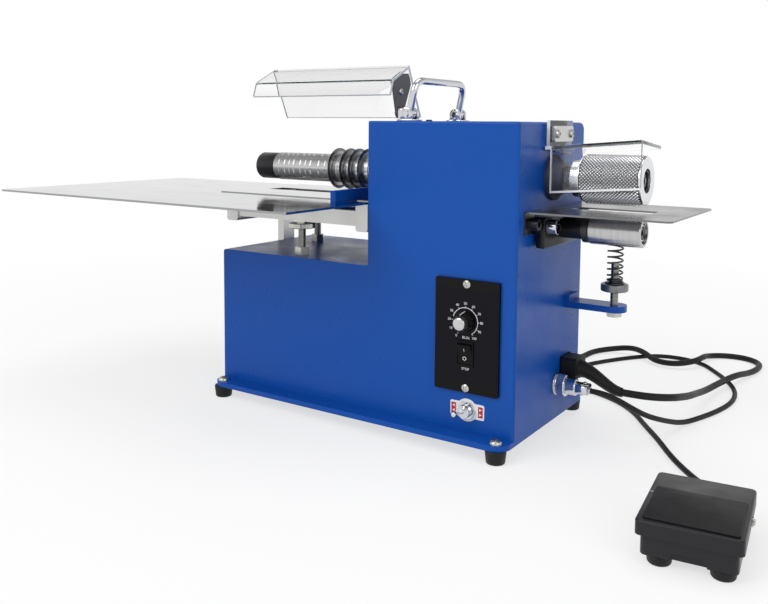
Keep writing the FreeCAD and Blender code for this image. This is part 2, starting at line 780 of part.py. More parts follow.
def guard_hinge():
    y, z = guard_pivot
    block = box((17.5, 24.0), (y - 8, y + 6), (case_top, z + 5.5))
    block = round_edges(block, X_AXIS, 4.0, lambda m: m.z > z)
    block = block.cut(rod_x(hinge_pin_radius, (17, 25), y, z))
    shoulder = arm_plate_x[0] - 0.2
    pin = turned_x([(10.5, 0), (10.5, 4.2), (shoulder, 4.2), (shoulder, hinge_pin_radius),
                    (24, hinge_pin_radius), (24, 0)], y, z)
    return [block, pin]


def guard_hood():
    return prism_x(strip_outline(hood_profile, acrylic), hood_x)


def guard_arm():
    """Plate that carries the hood and turns on the hinge pin."""
    y, z = guard_pivot
    inner = strip_outline(hood_profile, acrylic)[4:]
    corner = inner[2]
    ridge = inner[1]
    share = 0.62
    top = (corner[0] + share * (ridge[0] - corner[0]), corner[1] + share * (ridge[1] - corner[1]))
    outline = [corner, top, (-4.0, 327.4), (-1.0, 322.6), (0.8, 317.0),
               (y + 6.2, z + 1.0), (y - 6.0, z + 1.0)]
    plate = prism_x(outline, arm_plate_x).fuse(rod_x(6.2, arm_plate_x, y, z)).removeSplitter()
    return plate.cut(rod_x(hinge_pin_radius + running_gap, (10, 18), y, z))


def right_table():
    """Bent stainless plate with two lips screwed to the wall."""
    low = side_table_top - side_table_thick
    table = box(side_table_x, side_table_y, (low, side_table_top))
    table = round_edges(table, Z_AXIS, 5.0, lambda m: m.x > side_table_x[1] - 1)
    for y in ((side_table_y[0], side_table_y[0] + 18), (side_table_y[1] - 18, side_table_y[1])):
        table = table.fuse(box((case_x[1], case_x[1] + side_table_thick), y, (183, side_table_top)))
    slot = box(side_slot_x, (-side_slot_y, side_slot_y), (low - 1, side_table_top + 1))
    return table.removeSplitter().cut(slot)


def cap_screw_x(x, y, z, radius, length):
    """Socket head against a wall that faces +X."""
    end, floor = x + length, x + length * 0.45
    outline = [(x, 0), (x, radius), (end - 0.5, radius), (end, radius - 0.5),
               (end, radius * 0.5), (floor, radius * 0.5), (floor, 0)]
    return turned_x(outline, y, z)


def wall_screws():
    lip_face = case_x[1] + side_table_thick
    pad_face = case_x[1] + 8.0
    return [cap_screw_x(lip_face, side_table_y[0] + 9, 192.0, 4.4, 4.2),
            cap_screw_x(lip_face, side_table_y[1] - 9, 192.0, 4.4, 4.2),
            cap_screw_x(pad_face, -13.0, 269.5, 3.6, 3.0), cap_screw_x(pad_face, 19.0, 269.5, 3.6, 3.0)]


def right_guard():
    """Clear hood over the feed roller: front panel, sloping top and wall flange."""
    along = Vector(math.cos(right_guard_rise), 0, math.sin(right_guard_rise))
    fall = math.tan(right_guard_drop)

    def panel(outline, x):
        reach = (x[1] - x[0]) / along.x
        lift = (x[0] - right_guard_x[0]) * math.tan(right_guard_rise)
        points = [Vector(x[0], y, z + lift) for y, z in outline]
        return face_of(points).extrude(along * reach)

    front, back, top = right_guard_front, right_guard_back, right_guard_top
    slope = lambda y: top - (y - front) * fall
    flange_x = (case_x[1] + 2.0, case_x[1] + 5.0)
    front_panel = [(front, top - right_guard_height), (front + acrylic, top - right_guard_height),
                   (front + acrylic, slope(front + acrylic)), (front, top)]
    top_panel = [(front, top - acrylic), (back, slope(back) - acrylic), (back, slope(back)), (front, top)]
    flange = [(front + acrylic, slope(front) - 3.4), (back, slope(back) - 3.4),
              (back, 281.5), (front + acrylic, 281.5)]
    guard = panel(front_panel, right_guard_x)
    guard = guard.fuse(panel(top_panel, (flange_x[0], right_guard_x[1])))
    return guard.fuse(prism_x(flange, flange_x)).removeSplitter()


def guard_clamp_bar():
    """Spacer behind the flange and bar in front of it."""
    wall = case_x[1]
    spacer_bar = box((wall, wall + 2), (-18, 24.5), (262.5, 276.5))
    bar = box((wall + 5, wall + 8), (-18, 24.5), (262.5, 276.5))
    return [spacer_bar, round_edges(bar, X_AXIS, 2.0)]


def feed_arm():
    """Arm with a lug over the spring and a boss for the lower roller's axle."""
    y, z = feed_pivot
    side = [(y, z + 8), (0, z + 4.6), (50, z - 5), (52, z - 8), (52, lug_z), (14, lug_z - 2),
            (y, z - 10), (y - 6, z - 8), (y - 9, z - 3), (y - 9, z + 3), (y - 6, z + 6.6)]
    arm = prism_x(side, feed_bar_x)
    lug = box((feed_bar_x[1], spring_x + 12), (spring_y - 12, spring_y + 6.5), (lug_z, lug_z + 9))
    lug = round_edges(lug, Z_AXIS, 6.0, lambda m: m.x > 200)
    arm = arm.fuse(lug)
    arm = arm.fuse(rod_x(feed_boss_radius, (feed_bar_x[1], 201.6), feed_roller_y, feed_roller_z))
    arm = arm.fuse(rod_x(8.5, (201.6, 207.0), feed_roller_y, feed_roller_z))
    arm = arm.fuse(rod_x(feed_axle_radius, (207.0, 252.0), feed_roller_y, feed_roller_z)).removeSplitter()
    return arm.cut(rod_x(feed_bolt_radius + running_gap, (170, 190), y, z))


def lower_roller():
    """Roller tube with a bearing pressed in each end."""
    low, high = feed_roller_x
    inner = 10.0
    y, z = feed_roller_y, feed_roller_z
    rim = feed_roller_radius - 0.8
    tube = turned_x([(low, inner), (low, rim), (low + 0.8, feed_roller_radius),
                     (high - 0.8, feed_roller_radius), (high, rim), (high, inner)], y, z)
    bore = feed_axle_radius + running_gap
    return [tube] + [ball_bearing(x, bore, inner, y, z) for x in ((low, low + 7), (high - 8.5, high - 1.5))]


def arm_pivot_bolt():
    y, z = feed_pivot
    wall = case_x[1]
    shank = feed_bolt_radius
    bolt = turned_x([(wall, 0), (wall, shank), (182.0, shank), (182.0, 6.5), (189.5, 6.5),
                     (190, 6.0), (190, 3.2), (186, 3.2), (186, 0)], y, z)
    washer = turned_x([(wall, shank), (wall, 8.0), (172.7, 8.0), (172.7, shank)], y, z)
    return [bolt, washer]


def spring_bracket():
    end = spring_x + 11.7
    bar = box((case_x[1], end), (spring_y - 12, spring_y + 12), bracket_z)
    bar = round_edges(bar, Z_AXIS, 11.5, lambda m: m.x > end - 1)
    flange = box((case_x[1], case_x[1] + 5), (spring_y - 12, spring_y + 12), (bracket_z[0], bracket_z[1] + 6))
    bar = bar.fuse(flange).removeSplitter()
    return bar.cut(rod_z(tension_rod_radius, spring_x, spring_y, (bracket_z[0] - 1, bracket_z[1] + 1)))


def tension_rod():
    rod = turned_z([(0, 98.2), (tension_rod_radius, 98.2), (tension_rod_radius, 149), (2.8, 150),
                    (0, 150)], spring_x, spring_y)
    nut = hex_nut(13.0, (99.0, bracket_z[0]), spring_x, spring_y, tension_rod_radius)
    return [rod, nut]


def tension_nut():
    bore = tension_rod_radius + running_gap
    low, high = seat_z - 7.0, seat_z
    radius = 12.7
    outline = [(bore, low), (radius - 0.8, low), (radius, low + 0.8), (radius, high - 0.8),
               (radius - 0.8, high), (bore, high)]
    return turned_z(outline, spring_x, spring_y)


def tension_seat():
    """Washer that the spring stands on, with a short pilot inside the spring."""
    bore = tension_rod_radius + running_gap
    low = seat_z
    outline = [(bore, low), (9.0, low), (9.0, low + seat_thick), (5.4, low + seat_thick),
               (5.4, low + 4.5), (4.9, low + 5), (bore, low + 5)]
    return turned_z(outline, spring_x, spring_y)


def tension_spring():
    """Round wire wound with close end turns."""
    radius = (spring_outer - spring_wire) / 2
    low = seat_z + seat_thick + spring_wire / 2 + 0.05
    high = lug_z - spring_wire / 2 - 0.05
    closed = spring_wire + 0.6
    open_turns = round(4 * (high - low - 2 * closed) / spring_turn_pitch) / 4
    pitch = (high - low - 2 * closed) / open_turns
    rises = [closed / 4] * 4 + [pitch / 4] * int(open_turns * 4) + [closed / 4] * 4

    def station(i, z):
        angle = math.pi / 2 * i
        return Vector(spring_x + radius * math.cos(angle), spring_y + radius * math.sin(angle), z)

    def heading(i, rise):
        angle = math.pi / 2 * i
        quarter = math.pi / 2 * radius
        return Vector(-math.sin(angle) * quarter, math.cos(angle) * quarter, rise).normalize()

    edges = []
    z = low
    slopes = [0.0] + [(a + b) / 2 for a, b in zip(rises, rises[1:])] + [0.0]
    for i, rise in enumerate(rises):
        end = station(i + 1, z + rise)
        edges += biarc(station(i, z), heading(i, slopes[i]), end, heading(i + 1, slopes[i + 1]))
        z += rise
    gap = least_self_gap(edges, spring_wire / 2, 3 * radius)
    print("spring turns %.2f" % (len(rises) / 4), "least self gap %.2f" % gap)
    return swept_round(edges, spring_wire / 2)


def control_plate():
    """Front plate of the speed controller, with a frame round the rocker."""
    front = (-case_y - plate_front, -case_y)
    plate = box(control_x, front, control_z)
    plate = round_edges(plate, Y_AXIS, 1.5)
    plate = plate.cut(rod_y(3.6, knob_x, (front[0] - 1, front[1] + 1), knob_z))
    bezel_x = (rocker_x[0] - 1.4, rocker_x[1] + 1.4)
    bezel_z = (rocker_z[0] - 1.4, rocker_z[1] + 1.4)
    plate = plate.fuse(box(bezel_x, (front[0] - 1.2, front[0]), bezel_z)).removeSplitter()
    plate = plate.cut(box(rocker_x, (front[0] - 3, front[1] + 1), rocker_z))
    return plate


def speed_controller():
    """Controller body behind the plate, hollow for the knob's shaft and the rocker."""
    body = box((98, 151), (-case_y, -34), (53, 131))
    body = round_edges(body, Y_AXIS, 2.0)
    body = body.cut(rod_y(3.0 + running_gap, knob_x, (-case_y - 1, -case_y + 14), knob_z))
    return body.cut(box(rocker_x, (-case_y - 1, -case_y + 9), rocker_z))


def speed_knob():
    """Fluted skirt with a bright cap, on its potentiometer shaft."""
    face = -case_y - plate_front
    skirt = turned_y([(face - 0.6, 0), (face - 0.6, 9.2), (face - 2.4, 9.0), (face - 13.6, 7.6),
                      (face - 14.4, 6.8), (face - 14.4, 0)], knob_x, knob_z)
    flutes = 12
    for i in range(flutes):
        angle = 2 * math.pi * (i + 0.5) / flutes
        x, z = knob_x + 9.0 * math.cos(angle), knob_z + 9.0 * math.sin(angle)
        skirt = skirt.cut(rod_y(0.9, x, (face - 15, face - 3.0), z))
    shaft = rod_y(3.0, knob_x, (face - 0.6, -case_y + 13), knob_z)
    cap = turned_y([(face - 14.4, 0), (face - 14.4, 6.4), (face - 16.0, 6.4), (face - 16.6, 5.8),
                    (face - 16.6, 0)], knob_x, knob_z)
    return [skirt.fuse(shaft).removeSplitter(), cap]


def rocker_button():
    """Two-faced button on a cross pin, stored with its lower half pressed."""
    gap = 0.4
    x = (rocker_x[0] + gap, rocker_x[1] - gap)
    middle = (rocker_z[0] + rocker_z[1]) / 2
    half = (rocker_z[1] - rocker_z[0]) / 2 - 0.9
    face = -case_y - plate_front
    outline = [(face + 4.0, middle - 5.0), (face - 0.6, middle - half), (face - 0.9, middle),
               (face - 3.6, middle + half - 0.6), (face + 0.6, middle + half - 0.2),
               (face + 4.0, middle + 5.0)]
    return prism_x(outline, x)


def toggle_switch():
    """Threaded bushing, nut and body of the reversing switch."""
    face = -case_y
    body = box((toggle_x - 6.5, toggle_x + 6.5), (face + sheet, face + 20), (toggle_z - 8, toggle_z + 8))
    bushing = turned_y([(face - 7.5, 3.6), (face - 7.5, 5.4), (face - 7.0, 6.0), (face + sheet, 6.0),
                        (face + sheet, 3.6)], toggle_x, toggle_z)
    nut = prism_y(hexagon(15.0, toggle_x, toggle_z), (face - 2.6, face))
    nut = nut.cut(rod_y(6.0, toggle_x, (face - 5, face + 5), toggle_z))
    return [body, bushing, nut]


def toggle_lever():
    """Lever with a swollen end, leaning to one side on a ball inside the bushing."""
    ball_y = -case_y - 3.0
    tip = ball_y - 17.0
    lever = turned_y([(ball_y, 0), (ball_y, 1.2), (tip + 9, 1.5), (tip + 4, 2.5), (tip + 1.2, 2.7),
                      (tip, 1.6), (tip, 0)], toggle_x, toggle_z)
    ball = Part.makeSphere(2.6, Vector(toggle_x, ball_y, toggle_z))
    lever = lever.fuse(ball)
    return lever.rotate(Vector(toggle_x, ball_y, toggle_z), Z_AXIS, -math.degrees(toggle_tilt))


def mains_inlet():
    wall = case_x[1]
    flange = box((wall, wall + 1.6), (inlet_y - 12.9, inlet_y + 12.9), (inlet_z - 10.5, inlet_z + 10.5))
    flange = round_edges(flange, X_AXIS, 3.0)
    body = box((wall - 24, wall), (inlet_y - 12.5, inlet_y + 12.5), (inlet_z - 9.0, inlet_z + 9.0))
    return flange.fuse(body).removeSplitter()


def mains_connector():
    """Moulded plug in the inlet, with a boot that droops and levels out."""
    start = case_x[1] + 1.6
    grip = box((start, 186.0), (inlet_y - 12.9, inlet_y + 12.9), (inlet_z - 9.8, inlet_z + 9.8))
    grip = round_edges(grip, X_AXIS, 3.5)
    tail = Vector(*mains_route[0])
    droop = inlet_z - 1.5 - tail.z
    reach = tail.x - 186.0
    stations = 6
    rings = []
    for i in range(stations):
        share = i / (stations - 1)
        blend = share * share * (3 - 2 * share)
        slope = -6 * share * (1 - share) * droop / reach
        centre = Vector(186.0 + reach * share, inlet_y, inlet_z - 1.5 - droop * blend)
        radius = 9.0 - 4.6 * math.sqrt(share)
        rings.append(Part.Wire([Part.Circle(centre, Vector(1, 0, slope), radius).toShape()]))
    boot = Part.makeLoft(rings, True, False)
    return grip.fuse(boot)


def pedal_socket():
    """Round panel socket with its nut inside the wall."""
    wall = case_x[1]
    y, z = round_socket_y, round_socket_z
    inside = wall - sheet
    return turned_x([(wall - 14, 0), (wall - 14, 7.2), (inside - 3, 7.2), (inside - 3, 9.5), (inside, 9.5),
                     (inside, 8.0), (wall, 8.0), (wall, 10.2), (wall + 2.6, 10.2), (wall + 2.6, 0)], y, z)


def pedal_cord_connector():
    """Coupling nut, body and cord clamp of the round connector."""
    y, z = round_socket_y, round_socket_z
    start = case_x[1] + 2.6
    nut = turned_x([(start, 0), (start, 9.4), (start + 0.8, 10.2), (181.0, 10.2), (181.8, 9.4), (181.8, 7.8),
                    (191.0, 7.8), (192.0, 6.8), (192.0, 0)], y, z)
    clamp = box((192.0, 203.5), (y - 6.6, y + 6.6), (z - 4.6, z + 4.6))
    clamp = round_edges(clamp, X_AXIS, 2.5)
    tail = rod_x(3.4, (203.5, 205.0), y, z - 1.0)
    return nut.fuse(clamp).fuse(tail).removeSplitter()


def pedal_place(shape):
    """Turn a pedal piece to the way the pedal lies and put it on the floor."""
    shape.rotate(Vector(0, 0, 0), Z_AXIS, pedal_turn)
    shape.translate(Vector(pedal_centre[0], pedal_centre[1], 0))
    return shape


def pedal_base():
    """Lower body with arched ends between its feet, and the switch inside."""
    hx, hy = pedal_half_x - 3.2, pedal_half_y - 3.2
    low, high = -5.5, pedal_top - 6.5
    shell = box((-hx, hx), (-hy, hy), (low, high))
    shell = round_edges(shell, Z_AXIS, 3.0)
    shell = shell.cut(box((2.5 - hx, hx - 2.5), (2.5 - hy, hy - 2.5), (0, high + 1)))
    arch = [(-hx + 19, low - 1), (-hx + 20, 0.0), (hx - 20, 0.0), (hx - 16, low - 1)]
    shell = shell.cut(prism_y(arch, (-hy - 1, -hy + 2.4)))
    pin_hole = rod_x(2.0 + running_gap, (-hx - 1, hx + 1), pedal_pivot_y, pedal_pivot_z)
    shell = shell.cut(pin_hole)
    x, z = pedal_gland_x, pedal_gland_z
    shell = shell.cut(rod_y(3.4, x, (hy - 4, hy + 1), z))
    end = pedal_gland_end
    gland = turned_y([(hy - 2.5, 0), (hy - 2.5, 3.4), (hy, 3.4), (hy, 4.6), (hy + 1.5, 4.6),
                      (end, 3.3), (end, 0)], x, z)
    switch = box((-10, 10), (-24, -14), (0, 8.0))
    return [pedal_place(shell), pedal_place(gland), pedal_place(switch)]


def pedal_feet():
    feet = []
    for x in (-19.0, 21.0):
        for y in (-33.5, 33.5):
            outline = [(0, floor_z), (6.6, floor_z), (8.0, floor_z + 1.2), (8.6, -5.5), (0, -5.5)]
            foot = turned_z(outline, x, y)
            feet.append(pedal_place(foot))
    return feet


def pedal_treadle():
    """Cover that rocks on a cross pin."""
    hx, hy = pedal_half_x, pedal_half_y
    low = pedal_top - pedal_skirt
    cover = box((-hx, hx), (-hy, hy), (low, pedal_top - 1.0))
    cover = round_edges(cover, Z_AXIS, 2.5)
    cover = cover.cut(box((2.0 - hx, hx - 2.0), (2.0 - hy, hy - 2.0), (low - 1, pedal_top - 3.4)))
    pin = rod_x(2.0, (-hx - 1.5, hx + 1.5), pedal_pivot_y, pedal_pivot_z)
    cover = cover.fuse(pin)
    plunger = box((-4, 4), (-22, -16), (10.5, pedal_top - 3.4))
    return pedal_place(cover.fuse(plunger).removeSplitter())


def pedal_mat():
    mat = box((-30.0, 31.0), (-40.0, 15.0), (pedal_top - 1.0, pedal_top + 0.2))
    return pedal_place(round_edges(mat, Z_AXIS, 2.0))


def pedal_gland_points():
    """Ends of the cord's last run, straight into the gland at the pedal's rear."""
    turn = math.radians(pedal_turn)
    ends = []
    for reach in (pedal_gland_end + pedal_cord_run, pedal_gland_end):
        x = pedal_centre[0] + pedal_gland_x * math.cos(turn) - reach * math.sin(turn)
        y = pedal_centre[1] + pedal_gland_x * math.sin(turn) + reach * math.cos(turn)
        ends.append((x, y, pedal_gland_z))
    return ends


def coil_stations():
    """Ends of the coil's half turns: in along the floor, up a layer, and out again."""
    cx, cy = coil_centre
    low = floor_z + mains_diameter / 2
    radii = [coil_radius - coil_step * i for i in range(coil_inward + 1)]
    stations = []
    for i, radius in enumerate(radii + radii[::-1]):
        side = 1 if i % 2 == 0 else -1
        z = low if i <= coil_inward else low + coil_layer
        stations.append(Vector(cx + side * radius, cy, z))
    return stations


def mains_coil():
    stations = coil_stations()
    edges = [Part.LineSegment(coil_entry(), stations[0]).toShape()]
    heading = Y_AXIS * -1
    for start, end in zip(stations, stations[1:]):
        middle = (start + end) * 0.5
        edges.append(Part.Arc(start, middle + heading * (end - middle).Length, end).toShape())
        heading = heading * -1
    edges.append(Part.LineSegment(stations[-1], coil_exit()).toShape())
    length = sum(edge.Length for edge in edges)
    gap = least_self_gap(edges, mains_diameter / 2, 60.0)
    coil = swept_round(edges, mains_diameter / 2)
    expected = length * math.pi * mains_diameter ** 2 / 4
    print("coil length %.0f" % length, "least self gap %.2f" % gap,
          "volume share %.4f" % (coil.Volume / expected))
    return coil


def coil_entry():
    return coil_stations()[0] + Y_AXIS * mains_diameter


def coil_exit():
    return coil_stations()[-1] + Y_AXIS * mains_diameter


def mains_plug():
    """Moulded plug with two round pins and a tapered tail, lying beside the coil."""
    start = coil_exit()
    x, y, z = start.x, start.y, start.z
    tail = turned_y([(y, 0), (y, 4.0), (y + 26, 6.2), (y + 26, 0)], x, z)
    body = box((x - plug_half_x, x + plug_half_x), (y + 26, y + 62), (floor_z + 0.1, 2 * z - floor_z - 0.1))
    body = round_edges(body, Y_AXIS, 8.0)
    plug = tail.fuse(body)
    for side in (-1, 1):
        plug = plug.fuse(rod_y(2.4, x + side * 9.5, (y + 62, y + 81), z))
    return plug.removeSplitter()


def main():
    os.makedirs("parts", exist_ok=True)
    output_z = spindle_z - 2 * gear_centre()
    idler_z = spindle_z - gear_centre()
    tooth = math.radians(360.0 / idler_teeth)

    write("base_plate", base_plate())
    write("rubber_feet", *rubber_feet())
    write("foot_screws", *foot_screws())
    write("case_shell", case_shell())
    write("gear_plate", *gear_plate())
    write("drive_motor", drive_motor())
    write("gearbox", gearbox(output_z))
    write("bearing_housings", *bearing_housings())
    write("spindle_bearings", *spindle_bearings())

    write("spindle_shaft", spindle_shaft())
    write("spindle_gear", gear(spindle_teeth, -math.pi / 2, spindle_z, shaft_radius, 18, (44, 66), 5))
    idler_bore = idler_pin_radius + running_gap
    write("idler_gear", gear(idler_teeth, math.pi / 2 + tooth / 2, idler_z, idler_bore, 16, gear_boss_x, 6))
    write("output_gear", *output_gear(output_z))
    write("arbor_spacers", *arbor_spacers())
    write("slitting_blades", *slitting_blades())
    write("arbor_end_cap", arbor_end_cap())
    write("knurled_roller", *knurled_roller())

    write("left_table", left_table())
    write("throat_plate", throat_plate())
    write("edge_fence", edge_fence())
    write("carrier_frame", *carrier_frame())
    write("anvil_roller", anvil_roller())
    write("front_lift_nut", lift_nut(front_stud))
    write("rear_lift_nut", lift_nut(rear_stud))
    write("table_studs", *table_studs())
    write("guide_post", guide_post())

    write("guard_hinge", *guard_hinge())
    write("guard_hood", guard_hood())
    write("guard_arm", guard_arm())
    write("handle_clevises", *handle_clevises())
    write("carry_handle", carry_handle())

    write("right_table", right_table())
    write("wall_screws", *wall_screws())
    write("right_guard", right_guard())
    write("guard_clamp_bar", *guard_clamp_bar())
    write("feed_arm", feed_arm())
    write("lower_roller", *lower_roller())
    write("arm_pivot_bolt", *arm_pivot_bolt())
    write("spring_bracket", spring_bracket())
    write("tension_rod", *tension_rod())
    write("tension_nut", tension_nut())
    write("tension_seat", tension_seat())
    write("tension_spring", tension_spring())

    write("control_plate", control_plate())
    write("speed_controller", speed_controller())
    write("speed_knob", *speed_knob())
    write("rocker_button", rocker_button())
    write("toggle_switch", *toggle_switch())
    write("toggle_lever", toggle_lever())
    write("mains_inlet", mains_inlet())
    write("pedal_socket", pedal_socket())

    write("pedal_base", *pedal_base())
    write("pedal_treadle", pedal_treadle())
    write("pedal_mat", pedal_mat())

    write("mains_connector", mains_connector())
    end = coil_entry()
    write("mains_cord", cord_tube("mains cord", mains_route + [(end.x, end.y, end.z)], mains_diameter))
    write("mains_cord_coil", mains_coil())
    write("mains_plug", mains_plug())
    write("pedal_cord_connector", pedal_cord_connector())
    write("pedal_cord", cord_tube("pedal cord", pedal_route + pedal_gland_points(), pedal_cord_diameter))


main()
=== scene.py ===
import math
import bpy
import bmesh
from mathutils import Matrix, Vector


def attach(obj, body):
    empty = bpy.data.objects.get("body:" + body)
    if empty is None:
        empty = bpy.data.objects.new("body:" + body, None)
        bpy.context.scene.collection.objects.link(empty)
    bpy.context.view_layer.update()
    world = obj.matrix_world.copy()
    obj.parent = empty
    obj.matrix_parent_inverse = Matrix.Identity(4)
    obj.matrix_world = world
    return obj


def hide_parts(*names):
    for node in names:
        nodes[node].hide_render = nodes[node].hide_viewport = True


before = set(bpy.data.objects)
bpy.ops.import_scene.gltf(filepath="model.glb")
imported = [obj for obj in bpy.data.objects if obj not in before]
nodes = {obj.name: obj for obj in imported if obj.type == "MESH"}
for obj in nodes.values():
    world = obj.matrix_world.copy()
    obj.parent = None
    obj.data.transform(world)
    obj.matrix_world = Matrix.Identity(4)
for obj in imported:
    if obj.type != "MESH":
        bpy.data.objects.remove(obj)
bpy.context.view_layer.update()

mm = 0.001
fullTurn = 2 * math.pi
directions = {"x": Vector((1, 0, 0)), "y": Vector((0, 1, 0)), "z": Vector((0, 0, 1))}
allFour = (0, 1, 2, 3)
print("stage 1: frame with", len(nodes), "nodes")


# Small helpers: sizes come in millimetres, meshes are in metres

def at(x, y, z):
    return Vector((x, y, z)) * mm


def rect(across, up):
    return [(across[0], up[0]), (across[1], up[0]), (across[1], up[1]), (across[0], up[1])]


def drum(low, high, inner, outer, cut=0.0, lowCut=None):
    # outline of a plain or hollow cylinder whose rims are cut
    start = cut if lowCut is None else lowCut
    rim = [(low, outer - start), (low + start, outer)] if start else [(low, outer)]
    rim += [(high - cut, outer), (high, outer - cut)] if cut else [(high, outer)]
    return [(low, inner)] + rim + [(high, inner)]


def sharpEdges(part, degrees=30.0):
    limit = math.radians(degrees)
    return [edge for edge in part.edges if edge.is_manifold and edge.calc_face_angle(0.0) > limit]


def soften(part, size, steps=2, edges=None):
    # rounds the given edges, or every sharp one
    chosen = sharpEdges(part) if edges is None else edges
    if size > 0 and chosen:
        bmesh.ops.bevel(part, geom=chosen, offset=size * mm, offset_type="OFFSET", segments=steps,
                        profile=0.5, affect="EDGES", material=-1, clamp_overlap=True)


def pour(part, bm, paint=0):
    # adds a finished part to a piece, in the material that paint counts to
    bmesh.ops.recalc_face_normals(part, faces=part.faces[:])
    for face in part.faces:
        face.material_index = paint
    holder = bpy.data.meshes.new("holder")
    part.to_mesh(holder)
    part.free()
    bm.from_mesh(holder)
    bpy.data.meshes.remove(holder)


def addBlock(bm, x, y, z, edge=0.0, steps=2):
    part = bmesh.new()
    bmesh.ops.create_cube(part, size=1.0)
    bmesh.ops.scale(part, vec=at(x[1] - x[0], y[1] - y[0], z[1] - z[0]), verts=part.verts[:])
    bmesh.ops.translate(part, vec=at(sum(x) / 2, sum(y) / 2, sum(z) / 2), verts=part.verts[:])
    soften(part, edge, steps)
    pour(part, bm)


def spinRing(part, ring, closed, axis, turns):
    pairs = zip(ring, ring[1:] + (ring[:1] if closed else []))
    edges = [part.edges.new(pair) for pair in pairs]
    bmesh.ops.spin(part, geom=ring + edges, cent=(0, 0, 0), axis=axis, dvec=(0, 0, 0),
                   angle=fullTurn, steps=turns, use_merge=True, use_duplicate=False)


def addTurned(bm, outline, centre, axis, turns=64, paint=0, shape=None):
    # outline of (along, radius) spun about a line through the centre; it closes when it stays off the line
    part = bmesh.new()
    along, across = directions[axis], directions["z" if axis != "z" else "x"]
    ring = [part.verts.new((along * a + across * r) * mm) for a, r in outline]
    spinRing(part, ring, outline[0][1] > 0 and outline[-1][1] > 0, along, turns)
    bmesh.ops.remove_doubles(part, verts=part.verts[:], dist=1e-6)
    bmesh.ops.recalc_face_normals(part, faces=part.faces[:])
    if shape:
        shape(part)
    bmesh.ops.translate(part, vec=at(*centre), verts=part.verts[:])
    pour(part, bm, paint)


def addPrism(bm, outline, axis, span, edge=0.0, paint=0, bends=None):
    # flat outline pushed along an axis; bends = (radius, corner numbers) rounds those long edges first
    places = {"x": lambda a, b, c: (c, a, b), "y": lambda a, b, c: (a, c, b), "z": lambda a, b, c: (a, b, c)}
    part, way = bmesh.new(), directions[axis]
    face = part.faces.new([part.verts.new(at(*places[axis](a, b, span[0]))) for a, b in outline])
    grown = bmesh.ops.extrude_face_region(part, geom=[face])["geom"]
    raised = [item for item in grown if isinstance(item, bmesh.types.BMVert)]
    bmesh.ops.translate(part, vec=way * (span[1] - span[0]) * mm, verts=raised)
    bmesh.ops.recalc_face_normals(part, faces=part.faces[:])
    if bends:
        part.verts.ensure_lookup_table()
        lengthways = [edge for i in bends[1] for edge in part.verts[i].link_edges
                      if abs((edge.verts[1].co - edge.verts[0].co).normalized().dot(way)) > 0.9]
        soften(part, bends[0], 5, lengthways)
    soften(part, edge)
    pour(part, bm, paint)


def smoothLine(name, points, radius, sides, fineness):
    # round bar along a smooth line through points
    curve = bpy.data.curves.new(name, "CURVE")
    curve.dimensions = "3D"
    curve.bevel_depth = radius * mm
    curve.bevel_resolution = sides
    curve.use_fill_caps = True
    spline = curve.splines.new("NURBS")
    spline.points.add(len(points) - 1)
    for spot, point in zip(spline.points, points):
        spot.co = (*at(*point), 1.0)
    spline.order_u = 3
    spline.use_endpoint_u = True
    spline.resolution_u = fineness
    return curve


def meshOf(data):
    holder = bpy.data.objects.new("meshHolder", data)
    mesh = bpy.data.meshes.new_from_object(holder)
    bpy.data.objects.remove(holder)
    return mesh


def carve(part, cutter):
    # takes the cutter out of the part
    holders = []
    for shape in (part, cutter):
        bmesh.ops.recalc_face_normals(shape, faces=shape.faces[:])
        mesh = bpy.data.meshes.new("carveMesh")
        shape.to_mesh(mesh)
        holders.append(bpy.data.objects.new("carveHolder", mesh))
        bpy.context.scene.collection.objects.link(holders[-1])
    cut = holders[0].modifiers.new("cut", "BOOLEAN")
    cut.operation = "DIFFERENCE"
    cut.solver = "EXACT"
    cut.object = holders[1]
    result = bpy.data.meshes.new_from_object(holders[0].evaluated_get(bpy.context.evaluated_depsgraph_get()))
    part.clear()
    part.from_mesh(result)
    cutter.free()
    bpy.data.meshes.remove(result)
    for holder in holders:
        bpy.data.objects.remove(holder)


facing = {"up": Matrix.Identity(4), "right": Matrix.Rotation(math.pi / 2, 4, "Y"),
          "front": Matrix.Rotation(math.pi / 2, 4, "X")}


def stamp(bm, mesh, place, way, turn=0.0, paint=0):
    # adds a copy of a finished mesh at a place, facing one way and turned about that way
    part = bmesh.new()
    part.from_mesh(mesh)
    part.transform(Matrix.Translation(at(*place)) @ facing[way] @ Matrix.Rotation(math.radians(turn), 4, "Z"))
    pour(part, bm, paint)


lettering = dict(sizeShare=1.38, thick=0.03, fineness=3)


def addWords(bm, words, height, place):
    # thin raised lettering on the front
    letters = bpy.data.curves.new("lettering", "FONT")
    letters.body = words
    letters.size = height * lettering["sizeShare"] * mm
    letters.align_x = "CENTER"
    letters.align_y = "CENTER"
    letters.extrude = lettering["thick"] * mm
    letters.resolution_u = lettering["fineness"]
    mesh = meshOf(letters)
    stamp(bm, mesh, place, "front")
    bpy.data.meshes.remove(mesh)


def hexOutline(acrossFlats, centre=(0.0, 0.0)):
    radius = acrossFlats / math.sqrt(3)
    angles = [fullTurn * i / 6 for i in range(6)]
    return [(centre[0] + radius * math.cos(a), centre[1] + radius * math.sin(a)) for a in angles]


def crossOutline(reach, width):
    w, points = width / 2, []
    for i in range(4):
        c, s = round(math.cos(i * math.pi / 2)), round(math.sin(i * math.pi / 2))
        points += [(c * a - s * b, s * a + c * b) for a, b in ((reach, -w), (reach, w), (w, w))]
    return points


